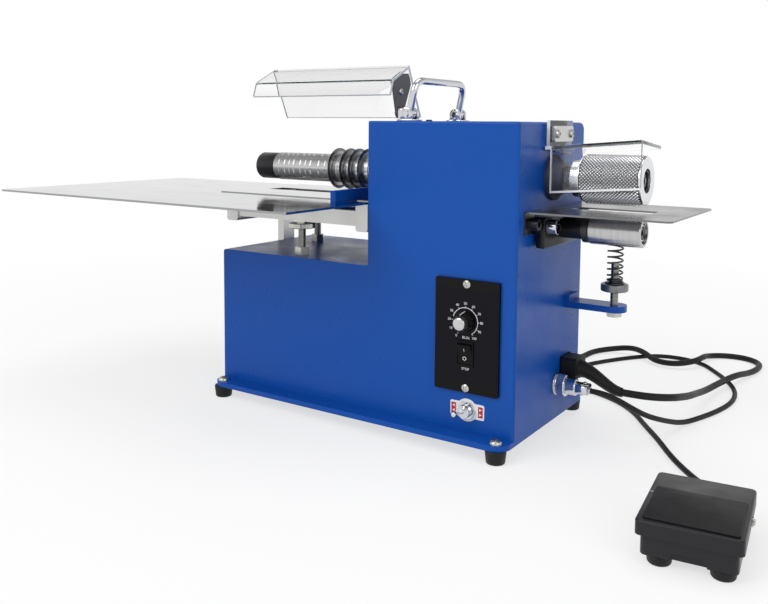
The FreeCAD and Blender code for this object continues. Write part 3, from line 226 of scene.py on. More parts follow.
def makeHead(name, radius, height, recess, kind="cross"):
    # screw head standing on the origin, with a cross or a six-sided recess
    head, cutter = bmesh.new(), bmesh.new()
    if kind == "cross":
        profile = [(0, 0), (0, radius), (height * 0.45, radius * 0.98), (height * 0.8, radius * 0.8),
                   (height, radius * 0.45), (height, 0)]
        addPrism(cutter, crossOutline(recess, recess * 0.42), "z", (height * 0.4, height + 1))
    else:
        profile = drum(0, height, 0, radius, 0.5, 0)
        addPrism(cutter, hexOutline(recess * 2), "z", (height * 0.35, height + 1))
    addTurned(head, profile, (0, 0, 0), "z", turns=40)
    carve(head, cutter)
    mesh = bpy.data.meshes.new(name)
    head.to_mesh(mesh)
    head.free()
    return mesh


def notchRim(part, a, b, outer, notches, depth, span=None):
    # pushes every other line of the rim inwards; a and b number the two coordinates across the axis
    for vert in part.verts:
        radius = math.hypot(vert.co[a], vert.co[b])
        step = round(math.atan2(vert.co[b], vert.co[a]) / fullTurn * notches * 2)
        inside = span is None or span[0] * mm < vert.co[3 - a - b] < span[1] * mm
        if radius > outer * mm and step % 2 and inside:
            for i in (a, b):
                vert.co[i] *= 1 - depth * mm / radius


def addPiece(name, bm, body, slot, *finishes, sharp=35.0, replaced=()):
    mesh = bpy.data.meshes.new(name)
    bm.to_mesh(mesh)
    bm.free()
    mesh.shade_smooth()
    mesh.set_sharp_from_angle(angle=math.radians(sharp))
    for finish in finishes:
        mesh.materials.append(paints[finish])
    piece = bpy.data.objects.new(name, mesh)
    bpy.context.scene.collection.objects.link(piece)
    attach(piece, body)
    if replaced:
        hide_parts(*replaced)
    return piece


def turnPiece(name, body, slot, finish, node, outline, centre, axis, turns, shape=None):
    # a piece that is one turned part
    bm = bmesh.new()
    addTurned(bm, outline, centre, axis, turns=turns, shape=shape)
    addPiece(name, bm, body, slot, finish, replaced=(node,))


# Effects that several materials share

def addNode(tree, kind, settings=None, feeds=None, **inputs):
    # a new node; each input gets a value or another node's output, and feeds counts its inputs by number
    node = tree.nodes.new("ShaderNode" + kind)
    for key, value in (settings or {}).items():
        setattr(node, key, value)
    named = {label.replace("_", " "): value for label, value in inputs.items()}
    for label, value in {**named, **(feeds or {})}.items():
        if isinstance(value, bpy.types.NodeSocket):
            tree.links.new(value, node.inputs[label])
        else:
            node.inputs[label].default_value = value
    return node


def newEffect(name, inputs, outputs):
    effect = bpy.data.node_groups.new(name, "ShaderNodeTree")
    for label, value in inputs.items():
        kind = "NodeSocketFloat" if isinstance(value, float) else "NodeSocketVector"
        socket = effect.interface.new_socket(name=label, in_out="INPUT", socket_type=kind)
        if value is not None:
            socket.default_value = value
    for label in outputs:
        effect.interface.new_socket(name=label, in_out="OUTPUT", socket_type="NodeSocketFloat")
    return effect, effect.nodes.new("NodeGroupInput").outputs, effect.nodes.new("NodeGroupOutput").inputs


def makeGrainEffect():
    # fine bumps of a coated or moulded skin, with a slow drift of shade
    effect, given, made = newEffect("skinGrain", {"Vector": None, "Grain Scale": 900.0, "Drift Scale": 9.0},
                                    ("Height", "Drift"))
    for label, source, detail in (("Height", "Grain Scale", 3.0), ("Drift", "Drift Scale", 4.0)):
        cloud = addNode(effect, "TexNoise", Vector=given["Vector"], Scale=given[source], Detail=detail)
        effect.links.new(cloud.outputs["Fac"], made[label])
    return effect


def makeLineEffect():
    # long fine lines left by a lathe or a polishing belt; the stretch vector says which way they run
    effect, given, made = newEffect("toolLines", {"Vector": None, "Stretch": (2000.0, 8.0, 8.0)},
                                    ("Height", "Streak"))
    scaled = addNode(effect, "VectorMath", dict(operation="MULTIPLY"),
                     {0: given["Vector"], 1: given["Stretch"]})
    for label, scale, detail, roughness in (("Height", 1.0, 4.0, 0.7), ("Streak", 0.13, 2.0, 0.5)):
        cloud = addNode(effect, "TexNoise", Vector=scaled.outputs["Vector"], Scale=scale, Detail=detail,
                        Roughness=roughness)
        effect.links.new(cloud.outputs["Fac"], made[label])
    return effect


def makeHandlingEffect():
    # patches where hands and hides have changed the gloss
    effect, given, made = newEffect("handlingMarks", {"Vector": None, "Scale": 25.0, "Low": 0.2, "High": 0.4},
                                    ("Gloss",))
    cloud = addNode(effect, "TexNoise", Vector=given["Vector"], Scale=given["Scale"], Detail=5.0,
                    Roughness=0.6)
    spread = addNode(effect, "MapRange", Value=cloud.outputs["Fac"], From_Min=0.35, From_Max=0.65,
                     To_Min=given["Low"], To_Max=given["High"])
    effect.links.new(spread.outputs["Result"], made["Gloss"])
    return effect


grainEffect = makeGrainEffect()
lineEffect = makeLineEffect()
handlingEffect = makeHandlingEffect()
bumpReach = dict(grain=0.0002, lines=0.0001)


def screenTone(red, green, blue):
    # a colour read off a screen, turned into the shader's linear values
    shares = [value / 255 for value in (red, green, blue)]
    return tuple(s / 12.92 if s <= 0.04045 else ((s + 0.055) / 1.055) ** 2.4 for s in shares) + (1.0,)


def makeFinish(name, tone, gloss, metallic=0.0, grain=(900.0, 0.15), drift=(9.0, 0.06), lines=None,
               lineDepth=0.1, streak=0.1, specular=0.5, transmission=0.0, ior=1.5):
    # gloss = (lowest, highest) roughness; grain = (scale, bump strength); drift = (scale, share of the colour)
    finish = bpy.data.materials.new(name)
    finish.use_nodes = True
    tree = finish.node_tree
    shader = tree.nodes["Principled BSDF"].inputs
    for label, value in (("Metallic", metallic), ("Specular IOR Level", specular),
                         ("Transmission Weight", transmission), ("IOR", ior)):
        shader[label].default_value = value
    place = addNode(tree, "TexCoord").outputs["Object"]
    skin = addNode(tree, "Group", dict(node_tree=grainEffect), Vector=place, Grain_Scale=grain[0],
                   Drift_Scale=drift[0])
    marks = addNode(tree, "Group", dict(node_tree=handlingEffect), Vector=place, Low=gloss[0], High=gloss[1])
    dark, light = (tuple(min(1.0, c * share) for c in screenTone(*tone)[:3]) + (1.0,)
                   for share in (1 - drift[1], 1 + drift[1]))
    tint = addNode(tree, "Mix", dict(data_type="RGBA"), Factor=skin.outputs["Drift"], A=dark, B=light)
    bump = addNode(tree, "Bump", Strength=grain[1], Distance=bumpReach["grain"],
                   Height=skin.outputs["Height"])
    normal, colour = bump.outputs["Normal"], tint.outputs["Result"]
    if lines:
        tool = addNode(tree, "Group", dict(node_tree=lineEffect), Vector=place, Stretch=lines)
        groove = addNode(tree, "Bump", Strength=lineDepth, Distance=bumpReach["lines"],
                         Height=tool.outputs["Height"], Normal=normal)
        shaded = addNode(tree, "Mix", dict(data_type="RGBA", blend_type="MULTIPLY"), Factor=streak, A=colour,
                         B=tool.outputs["Streak"])
        normal, colour = groove.outputs["Normal"], shaded.outputs["Result"]
    for label, source in (("Roughness", marks.outputs["Gloss"]), ("Normal", normal), ("Base Color", colour)):
        tree.links.new(source, shader[label])
    return finish


acrossX, acrossZ, beltLines = (2600.0, 6.0, 6.0), (6.0, 6.0, 2600.0), (8.0, 1500.0, 8.0)
metal = dict(metallic=1.0)
finishes = {
    "blueCoat": ((4, 74, 161), (0.26, 0.38), dict(grain=(2400.0, 0.05), drift=(6.0, 0.05), specular=0.22)),
    "mirrorSheet": ((162, 163, 165), (0.06, 0.13), dict(metal, grain=(300.0, 0.01), lines=beltLines,
                                                        lineDepth=0.03, streak=0.05)),
    "satinSheet": ((128, 128, 130), (0.2, 0.3), dict(metal, grain=(500.0, 0.02), lines=beltLines,
                                                     lineDepth=0.08, streak=0.1)),
    "turnedSteel": ((205, 205, 205), (0.14, 0.26), dict(metal, grain=(600.0, 0.02), lines=acrossX,
                                                        lineDepth=0.35, streak=0.35, drift=(40.0, 0.10))),
    "uprightSteel": ((196, 195, 190), (0.2, 0.34), dict(metal, grain=(900.0, 0.04), lines=acrossZ,
                                                        lineDepth=0.2, streak=0.2)),
    "shaftSteel": ((150, 151, 155), (0.16, 0.26), dict(metal, grain=(600.0, 0.01), lines=acrossX,
                                                       lineDepth=0.08, streak=0.3)),
    "sleeveSteel": ((208, 208, 208), (0.12, 0.2), dict(metal, grain=(600.0, 0.01), lines=acrossX,
                                                       lineDepth=0.12, streak=0.25, drift=(20.0, 0.06))),
    "milledMetal": ((205, 205, 203), (0.32, 0.46), dict(metallic=0.85, grain=(1500.0, 0.08))),
    "gearSteel": ((140, 140, 142), (0.25, 0.4), metal),
    "brightChrome": ((206, 208, 212), (0.05, 0.12), dict(metal, grain=(300.0, 0.01))),
    "blackOxide": ((13, 14, 20), (0.24, 0.38), dict(specular=0.35)),
    "armGrey": ((84, 84, 87), (0.35, 0.5), dict(specular=0.3)),
    "panelBlack": ((8, 8, 10), (0.42, 0.55), dict(grain=(2500.0, 0.06), specular=0.15)),
    "knobBlack": ((12, 12, 13), (0.22, 0.32), dict(specular=0.35)),
    "softBlack": ((18, 18, 19), (0.45, 0.6), dict(grain=(1800.0, 0.1), specular=0.3)),
    "pedalBlack": ((24, 24, 29), (0.3, 0.42), dict(grain=(1600.0, 0.2), specular=0.35)),
    "motorGrey": ((70, 72, 75), (0.4, 0.5), {}),
    "clearSheet": ((255, 255, 255), (0.0, 0.02), dict(grain=(200.0, 0.002), drift=(9.0, 0.005),
                                                      transmission=1.0, ior=1.45)),
    # guard edges and rims: frosted, with pale colours that are painted highlights for light caught in the acrylic's
    # edges
    "clearEdgeHighlight": ((205, 211, 214), (0.25, 0.4), dict(grain=(1200.0, 0.05))),
    "clearRimHighlight": ((244, 246, 248), (0.2, 0.3), dict(grain=(1200.0, 0.03), drift=(9.0, 0.02))),
    "knifeSteel": ((168, 168, 170), (0.2, 0.32), dict(metal, grain=(700.0, 0.03))),
    "knifeEdge": ((122, 122, 126), (0.18, 0.3), dict(metal, grain=(900.0, 0.03))),
    "knurlMetal": ((222, 223, 225), (0.16, 0.28), dict(metal, grain=(900.0, 0.03))),
    # knurled faces: a pale base tone, darkened in the grooves by painted shade from paintGrooveShade
    "knurlShadedGrooves": ((236, 237, 239), (0.16, 0.28), dict(metal, grain=(900.0, 0.03))),
    "darkSteel": ((72, 72, 76), (0.25, 0.4), dict(metallic=0.9)),
    "castGrey": ((92, 93, 97), (0.4, 0.55), dict(metallic=0.5, grain=(700.0, 0.3))),
    "threadSteel": ((170, 170, 166), (0.25, 0.38), metal),
    "nutZinc": ((196, 196, 188), (0.2, 0.34), dict(metal, drift=(60.0, 0.1))),
    "discGrey": ((128, 128, 130), (0.3, 0.42), dict(metallic=0.8)),
    "capSteel": ((200, 200, 200), (0.12, 0.24), dict(metal, drift=(80.0, 0.15))),
    "printWhite": ((226, 228, 230), (0.5, 0.6), {}),
    "printRed": ((176, 34, 38), (0.5, 0.6), {}),
    "labelBlack": ((3, 3, 14), (0.3, 0.42), dict(grain=(2500.0, 0.03), specular=0.15)),
}
paints = {name: makeFinish(name, tone, gloss, **more) for name, (tone, gloss, more) in finishes.items()}
# painted shade for the knurl's grooves: the dark tone and the reach from the spindle's line over which it is mixed
# in
grooveShade = dict(bottom=20.95, top=21.5, height=230.0, tone=(46, 46, 50))


def paintGrooveShade(finish):
    # painted shade: darkens what lies near the spindle's line, so that the knurl's grooves look shaded
    tree = finish.node_tree
    base = tree.nodes["Principled BSDF"].inputs["Base Color"]
    place = addNode(tree, "TexCoord").outputs["Object"]
    across = addNode(tree, "Mapping", Vector=place, Location=(0.0, 0.0, -grooveShade["height"] * mm),
                     Scale=(0.0, 1.0, 1.0))
    reach = addNode(tree, "VectorMath", dict(operation="LENGTH"), {0: across.outputs["Vector"]})
    share = addNode(tree, "MapRange", Value=reach.outputs["Value"], From_Min=grooveShade["bottom"] * mm,
                    From_Max=grooveShade["top"] * mm)
    blend = addNode(tree, "Mix", dict(data_type="RGBA"), Factor=share.outputs["Result"],
                    A=screenTone(*grooveShade["tone"]), B=base.links[0].from_socket)
    tree.links.new(blend.outputs["Result"], base)


paintGrooveShade(paints["knurlShadedGrooves"])
print("stage 2: materials")

# Materials of the frame's own nodes
nodeFinishes = {
    "blueCoat": "case_shell base_plate edge_fence spring_bracket",
    "mirrorSheet": "left_table throat_plate", "satinSheet": "right_table",
    "turnedSteel": "arbor_spacers slitting_blades spindle_shaft anvil_roller lower_roller arm_pivot_bolt "
                   "knurled_roller spindle_bearings",
    "uprightSteel": "tension_rod table_studs front_lift_nut rear_lift_nut tension_nut tension_seat "
                    "foot_screws wall_screws",
    "milledMetal": "carrier_frame guide_post bearing_housings gear_plate gearbox guard_clamp_bar",
    "gearSteel": "spindle_gear idler_gear output_gear", "darkSteel": "tension_spring",
    "brightChrome": "carry_handle handle_clevises toggle_switch toggle_lever guard_hinge "
                    "pedal_cord_connector pedal_socket",
    "blackOxide": "feed_arm arbor_end_cap", "clearSheet": "guard_hood right_guard", "armGrey": "guard_arm",
    "panelBlack": "control_plate rocker_button speed_controller mains_inlet",
    "knobBlack": "speed_knob", "motorGrey": "drive_motor", "pedalBlack": "pedal_base pedal_treadle",
    "softBlack": "rubber_feet mains_connector mains_cord mains_cord_coil mains_plug pedal_cord pedal_mat",
}
for finish, names in nodeFinishes.items():
    for name in names.split():
        materials = nodes[name].data.materials
        materials.clear()
        materials.append(paints[finish])


# Camera, floor and light

view = dict(place=(471.4, -730.4, 276.5), turn=33.69, down=5.05, roll=0.42, lens=39.96, sensor=36.0,
            shift=-0.1328, farClip=20)


def placeCamera():
    turn, down, roll = (math.radians(view[key]) for key in ("turn", "down", "roll"))
    forward = Vector((-math.sin(turn) * math.cos(down), math.cos(turn) * math.cos(down), -math.sin(down)))
    right = Vector((math.cos(turn), math.sin(turn), 0))
    up = right.cross(forward)
    acrossFrame = right * math.cos(roll) + up * math.sin(roll)
    upFrame = up * math.cos(roll) - right * math.sin(roll)
    lens = bpy.data.cameras.new("photoCamera")
    lens.lens = view["lens"]
    lens.sensor_width = view["sensor"]
    lens.shift_y = view["shift"]
    lens.clip_end = view["farClip"]
    camera = bpy.data.objects.new("photoCamera", lens)
    pose = Matrix((acrossFrame, upFrame, -forward)).transposed().to_4x4()
    camera.matrix_world = Matrix.Translation(at(*view["place"])) @ pose
    bpy.context.scene.collection.objects.link(camera)
    bpy.context.scene.camera = camera


studio = dict(floorZ=-12.2, floorSize=30.0, floorTone=0.88, floorRoughness=0.9, worldLight=0.60, ceiling=0.42,
              ceilingFrom=0.1, ceilingTo=0.7, shadowShare=0.34, shadowReach=(0.45, 1.2), aim=(0.0, 0.0, 0.15),
              lamps=[("keyLamp", (-0.9, -2.2, 1.9), 1.6, 32.0), ("fillLamp", (2.4, -1.2, 1.5), 1.6, 15.0),
                     ("topLamp", (0.0, 0.2, 2.6), 2.0, 18.0)])


def seenDirectly(tree):
    # 1 for rays from the camera, off gloss and through glass
    path = addNode(tree, "LightPath").outputs
    seen = path["Is Camera Ray"]
    for label in ("Is Glossy Ray", "Is Transmission Ray"):
        seen = addNode(tree, "Math", dict(operation="MAXIMUM"), {0: seen, 1: path[label]}).outputs["Value"]
    return seen, path


def mapped(tree, source, low, high, toLow, toHigh):
    # the source, spread from one range to another
    return addNode(tree, "MapRange", Value=source, From_Min=low, From_Max=high, To_Min=toLow,
                   To_Max=toHigh).outputs["Result"]


def paintSky():
    # white to the camera and through glass; gloss sees the same white with a darker ceiling
    world = bpy.data.worlds.new("studioWorld")
    bpy.context.scene.world = world
    world.use_nodes = True
    tree = world.node_tree
    sky = tree.nodes["Background"].inputs
    sky["Color"].default_value = (1, 1, 1, 1)
    seen, path = seenDirectly(tree)
    way = addNode(tree, "SeparateXYZ", Vector=addNode(tree, "TexCoord").outputs["Generated"])
    ceiling = mapped(tree, way.outputs["Z"], studio["ceilingFrom"], studio["ceilingTo"], 1.0,
                     studio["ceiling"])
    gloss = addNode(tree, "Mix", Factor=path["Is Glossy Ray"], A=1.0, B=ceiling)
    level = mapped(tree, seen, 0.0, 1.0, studio["worldLight"], gloss.outputs["Result"])
    tree.links.new(level, sky["Strength"])


def layFloor():
    # pale paper that keeps the shadow near the object and is plain white further off
    bpy.ops.mesh.primitive_plane_add(size=studio["floorSize"], location=(0, 0, studio["floorZ"] * mm))
    floor = bpy.context.object
    floor.name = "studioFloor"
    paper = bpy.data.materials.new("paleFloor")
    paper.use_nodes = True
    tree, tone = paper.node_tree, studio["floorTone"]
    shader = tree.nodes["Principled BSDF"]
    for label, value in (("Base Color", (tone, tone, tone, 1)), ("Roughness", studio["floorRoughness"]),
                         ("Specular IOR Level", 0.0)):
        shader.inputs[label].default_value = value
    seen, path = seenDirectly(tree)
    place = addNode(tree, "TexCoord").outputs["Object"]
    reach = addNode(tree, "VectorMath", dict(operation="LENGTH"), {0: place}).outputs["Value"]
    white = mapped(tree, reach, *studio["shadowReach"], 1.0 - studio["shadowShare"], 1.0)
    share = addNode(tree, "Math", dict(operation="MULTIPLY"), {0: seen, 1: white}).outputs["Value"]
    glow = addNode(tree, "Emission").outputs["Emission"]
    blend = addNode(tree, "MixShader", None, {0: share, 1: shader.outputs["BSDF"], 2: glow})
    tree.links.new(blend.outputs["Shader"], tree.nodes["Material Output"].inputs["Surface"])
    floor.data.materials.append(paper)


def lightStudio():
    for name, place, size, power in studio["lamps"]:
        light = bpy.data.lights.new(name, "AREA")
        light.size = size
        light.energy = power
        lamp = bpy.data.objects.new(name, light)
        lamp.location = place
        lamp.rotation_euler = (Vector(studio["aim"]) - Vector(place)).to_track_quat("-Z", "Y").to_euler()
        bpy.context.scene.collection.objects.link(lamp)


placeCamera()
paintSky()
layFloor()
lightStudio()
bpy.context.scene.view_settings.view_transform = "Standard"
print("stage 3: camera and studio")


# Cords

mainsLead = dict(diameter=6.8, length=1.56, coilCentre=(48, 178), coilRadius=44.1, coilStep=4.6,
                 coilLayer=7.6,
                 coilInward=3, floorZ=-8.6, pointsPerHalfTurn=8, into=(92.1, 184.8, -8.6),
                 plugEnd=(3.9, 184.8, -1),
                 beforePlug=(3.9, 178, -1), route=[
    (227, 38.5, 29.6), (244, 38.5, 29.6), (259, 46.5, 28.6), (268.4, 61, 26.4), (270.3, 79, 22.6),
    (270.5, 106, 16.3), (267.5, 146, 7.5), (267.5, 190, -0.6), (271.5, 232, -2.8), (280.5, 276, -2.8),
    (288, 311, -7.8), (293, 338, -8.6), (291, 364, -8.6), (271.8, 381, -8.6), (246, 378.5, -8.6),
    (229.5, 359, -7.4), (231.5, 334, -2.8), (228, 308, -2.8), (209, 292.5, -5.8), (184, 294, -6.2),
    (166.5, 313.5, -2.8), (145, 328, -2.8), (119.5, 323, -7.4), (104.5, 302.5, -8.6),
    (102.5, 273, -8.6), (98, 242, -8.6), (92.1, 211, -8.6)])
pedalLead = dict(diameter=5.0, length=0.966, route=[
    (205, 15.5, 33), (217, 15.5, 33), (229.5, 18.5, 28.5), (240.5, 26, 20.5), (250, 41, 10.8),
    (260, 66, 1), (268, 98, -8.8), (278, 126, -9.5), (287.5, 156, -9.5), (293.5, 190, -9.5),
    (291.5, 222, -9.5), (283, 250, -9.5), (268, 278, -9.5), (250, 304, -9.5), (234, 325, -9.5),
    (210, 337, -9.5), (182, 335, -9.5), (163, 319, -9.5), (142, 289, -9.5), (124, 256, -9.5),
    (112, 224, -9.5), (107, 196, -9.5), (115, 170, -9.5), (138, 152, -9.5), (168, 143, -9.5),
    (196, 127, -9.5), (219, 104, -9.5), (238, 74.5, -9.5), (260, 43, -9.5), (280, 10, -9.5),
    (300, -17, -9.5), (321, -42, -8.6), (334.5, -55.5, -3), (339.66, -69.85, 3.6), (341.41, -86.76, 3.6)])


def coilPoints(lead):
    # half turns that spiral in on the floor, climb a layer and spiral out again
    cx, cy = lead["coilCentre"]
    radii = [lead["coilRadius"] - lead["coilStep"] * i for i in range(lead["coilInward"] + 1)]
    radii = radii + radii[::-1]
    count = lead["pointsPerHalfTurn"]
    points = []
    for half, (r1, r2) in enumerate(zip(radii, radii[1:])):
        low = lead["floorZ"] + (lead["coilLayer"] if half > lead["coilInward"] else 0.0)
        rise = lead["coilLayer"] if half == lead["coilInward"] else 0.0
        side = 1 if half % 2 == 0 else -1
        x1, x2 = cx + side * r1, cx - side * r2
        middle, spread = (x1 + x2) / 2, (r1 + r2) / 2 / math.cos(math.pi / count / 2)
        for i in range(count):
            angle = math.pi * (i + 0.5) / count
            points.append((middle + side * spread * math.cos(angle), cy - side * spread * math.sin(angle),
                           low + rise * (1 - math.cos(angle)) / 2))
    return points


def makeLead(name, lead, points):
    curve = smoothLine(name, points, lead["diameter"] / 2, 6, 10)
    curve.materials.append(paints["softBlack"])
    piece = bpy.data.objects.new(name, curve)
    bpy.context.scene.collection.objects.link(piece)
    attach(piece, "root")
    return piece


roundPlug = dict(centre=(15.5, 34.0), wall=170.0, flange=(10.2, 172.6), nut=(10.2, 181.8, 48, 0.5),
                 rims=(0.6, 1.0, 1.4),
                 body=(7.8, 192.0), clamp=((192.0, 203.5), 6.6, 4.6), clampScrews=(198.0, 4.0, 1.6, 5.2),
                 tail=(3.4, 205.0), drop=1.0, barrel=(7.2, 156.0))


def makeRoundPlug():
    # the socket stays on the wall; the plug has a ridged nut, a plain body and a clamp for the cord
    y, z = roundPlug["centre"]
    wall, (r, end), (barrel, back) = roundPlug["wall"], roundPlug["flange"], roundPlug["barrel"]
    socket = [(back, 0), (back, barrel), (wall - 0.3, barrel)] + drum(wall, end, 0, r, 0.5, 0.4)[1:]
    turnPiece("pedalSocket", "root", "chrome", "brightChrome", "pedal_socket", socket, (0, y, z), "x", 64)
    bm = bmesh.new()
    (r, nutEnd, ridges, ridge), (body, bodyEnd) = roundPlug["nut"], roundPlug["body"]
    cut, flat, dip = roundPlug["rims"]
    nut = [(end, 0), (end, r - cut), (end + cut, r), (end + flat, r), (end + dip, r - 0.1),
           (nutEnd - dip, r - 0.1),
           (nutEnd - flat, r), (nutEnd - cut, r), (nutEnd, r - cut)] + drum(nutEnd, bodyEnd, 0, body, 1.0,
                                                                            0)[1:]
    addTurned(bm, nut, (0, y, z), "x", turns=ridges * 2,
              shape=lambda part: notchRim(part, 2, 1, r - 0.3, ridges, ridge, (end + 1.2, nutEnd - 1.2)))
    span, halfY, halfZ = roundPlug["clamp"]
    addPrism(bm, rect((y - halfY, y + halfY), (z - halfZ, z + halfZ)), "x", span, edge=0.4,
             bends=(2.5, allFour))
    x, apart, screw, reach = roundPlug["clampScrews"]
    for side in (-apart, apart):
        addTurned(bm, drum(z - reach, z + reach, 0, screw), (x, y + side, 0), "z", turns=20)
    tail, tailEnd = roundPlug["tail"]
    addTurned(bm, drum(span[1] - 0.5, tailEnd, 0, tail, 0.3, 0), (0, y, z - roundPlug["drop"]), "x", turns=40)
    return addPiece("pedalPlug", bm, "root", "chrome", "brightChrome", replaced=("pedal_cord_connector",))


mainsCord = makeLead("mainsCord", mainsLead, mainsLead["route"] + [mainsLead["into"]] + coilPoints(mainsLead)
                     + [mainsLead["beforePlug"], mainsLead["plugEnd"]])
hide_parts("mains_cord", "mains_cord_coil")
pedalCord = makeLead("pedalCord", pedalLead, pedalLead["route"])
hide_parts("pedal_cord")
makeRoundPlug()
print("stage 4: cords")

# Spindle: sleeves, knives, cap and feed roller

spindleLine = (0.0, 0.0, 230.0)
sleeves = dict(radius=15.0, bore=10.0, chamfer=0.8, groove=0.5, grooveFrom=12, ends=[
    14.6, -1.67, -17.93, -34.2, None, -35.8, -45.8, None, -47.4, -56.9, None, -58.5, -71.8, None,
    -73.4, -90.4, -101.4, -115.4, -124.4, -137.4, -154.0])
knives = dict(radius=21.5, thick=1.6, bevel=3.2, edge=0.1, centres=(-35.0, -46.6, -57.7, -72.6))
endCap = dict(x=(-180.0, -154.0), radius=14.5, socket=5.0, deep=3)
spindleBar = dict(start=-160.0, steps=[(-154.0, 8.0), (249.0, 10.0), (252.0, 7.0)], chamfer=0.4,
                  centreHole=3.0)


def makeSleeves():
    bm = bmesh.new()
    r, deep = sleeves["radius"], sleeves["groove"]
    for high, low in zip(sleeves["ends"], sleeves["ends"][1:]):
        if high is None or low is None:
            continue
        outline = drum(low, high, sleeves["bore"], r, sleeves["chamfer"])
        if high - low > sleeves["grooveFrom"]:
            middle = (low + high) / 2
            outline[3:3] = [(middle - deep, r), (middle, r - deep), (middle + deep, r)]
        addTurned(bm, outline, spindleLine, "x", turns=96)
    addPiece("arborSleeves", bm, "spindle", "polished_steel", "sleeveSteel", replaced=("arbor_spacers",))


def makeKnives():
    bm = bmesh.new()
    r, half, edge, base = knives["radius"], knives["thick"] / 2, knives["edge"], knives["radius"] - knives["bevel"]
    for x in knives["centres"]:
        rim = [(x - half, base), (x - edge, r), (x + edge, r), (x + half, base)]
        for paint, outline in enumerate((drum(x - half, x + half, sleeves["bore"], base), rim)):
            addTurned(bm, outline, spindleLine, "x", turns=120, paint=paint)
    addPiece("slittingKnives", bm, "spindle", "ground_steel", "knifeSteel", "knifeEdge", sharp=12,
             replaced=("slitting_blades",))


def makeEndCap():
    (low, high), r, socket, floor = endCap["x"], endCap["radius"], endCap["socket"], endCap["x"][0] + endCap["deep"]
    outline = [(high, 0), (high, r - 0.4), (high - 0.4, r), (low + 2.5, r), (low + 0.8, r - 0.8),
               (low, r - 2.5),
               (low, socket), (floor, socket), (floor, 0)]
    turnPiece("arborEndCap", "spindle", "dark_plate", "blackOxide", "arbor_end_cap", outline, spindleLine,
              "x", 80)


def makeSpindleBar():
    start, hole, cut = spindleBar["start"], spindleBar["centreHole"], spindleBar["chamfer"]
    outline = [(start, 0)]
    for end, radius in spindleBar["steps"]:
        outline += drum(start, end, 0, radius, cut)[1:-1]
        start = end
    outline += [(start, hole), (start - 2, hole), (start - 3, 0)]
    turnPiece("spindleBar", "spindle", "ground_steel", "shaftSteel", "spindle_shaft", outline, spindleLine,
              "x", 64)


feedRoller = dict(x=(200.0, 255.0), radius=22.2, depth=1.3, around=88, along=34, rim=1.2, recess=10.5,
                  deep=6.0,
                  bore=10.0, knurlFloor=20.0, hub=(190.6, 16.5), setScrew=(2.6, 1.2, 1.3), setScrewTurn=140.0)


def makeFeedRoller():
    # the knurl is a grid of small pyramids rolled up into a tube
    (low, high), rim, around, along = (feedRoller[key] for key in ("x", "rim", "around", "along"))
    r, base, bore = feedRoller["radius"], feedRoller["radius"] - feedRoller["depth"], feedRoller["bore"]
    part = bmesh.new()
    bmesh.ops.create_grid(part, x_segments=around, y_segments=along, size=1.0)
    valleys = set()
    for vert in part.verts:
        column = round((vert.co.x + 1) / 2 * around)
        row = round((vert.co.y + 1) / 2 * along)
        peak = (column + row) % 2 == 1 and 0 < row < along
        if (column + row) % 2 == 0:
            valleys.add(vert)
        turn, height = fullTurn * column / around, r if peak else base
        x = low + rim + (high - low - 2 * rim) * row / along
        vert.co = at(x, -height * math.sin(turn), height * math.cos(turn))
    for face in part.faces[:]:
        ends = [vert for vert in face.verts if vert in valleys]
        if len(ends) == 2:
            bmesh.utils.face_split(face, ends[0], ends[1])
    hole, floor = feedRoller["recess"], high - feedRoller["deep"]
    for outline in ([(low + rim, base), (low + 0.3, base), (low, base - 0.4), (low, bore)],
                    [(high - rim, base), (high - 0.3, base), (high, base - 0.4), (high, hole + 0.3),
                     (high - 0.3, hole), (floor, hole), (floor, 7.0)]):
        ring = [part.verts.new(at(x, 0, radius)) for x, radius in outline]
        spinRing(part, ring, False, directions["x"], around)
    bmesh.ops.remove_doubles(part, verts=part.verts[:], dist=5e-6)
    bmesh.ops.translate(part, vec=at(*spindleLine), verts=part.verts[:])
    bm = bmesh.new()
    pour(part, bm, paint=2)
    for face in bm.faces:
        middle = (face.calc_center_median() - at(*spindleLine)) / mm
        if not low + rim < middle.x < high - rim or math.hypot(middle.y, middle.z) < feedRoller["knurlFloor"]:
            face.material_index = 0
    hubStart, hubRadius = feedRoller["hub"]
    addTurned(bm, drum(hubStart, low, bore, hubRadius, 0, 1), spindleLine, "x", turns=80)
    turn = Matrix.Rotation(-math.radians(feedRoller["setScrewTurn"]), 4, "X")
    screw = bmesh.new()
    screw.from_mesh(makeHead("setScrew", *feedRoller["setScrew"], "hex"))
    screw.transform(Matrix.Translation(at((hubStart + low) / 2, *spindleLine[1:])) @ turn
                    @ Matrix.Translation(at(0, 0, hubRadius - 0.9)))
    pour(screw, bm, paint=1)
    # the knurled faces take the material with painted shade in the grooves
    addPiece("feedRollerTop", bm, "spindle", "knurled_aluminium", "knurlMetal", "blackOxide", "knurlShadedGrooves",
             sharp=18, replaced=("knurled_roller",))


makeSleeves()
makeKnives()
makeEndCap()
makeSpindleBar()
makeFeedRoller()
print("stage 5: spindle")


# Feed side: lower roller, arm, bolt, bearing flanges

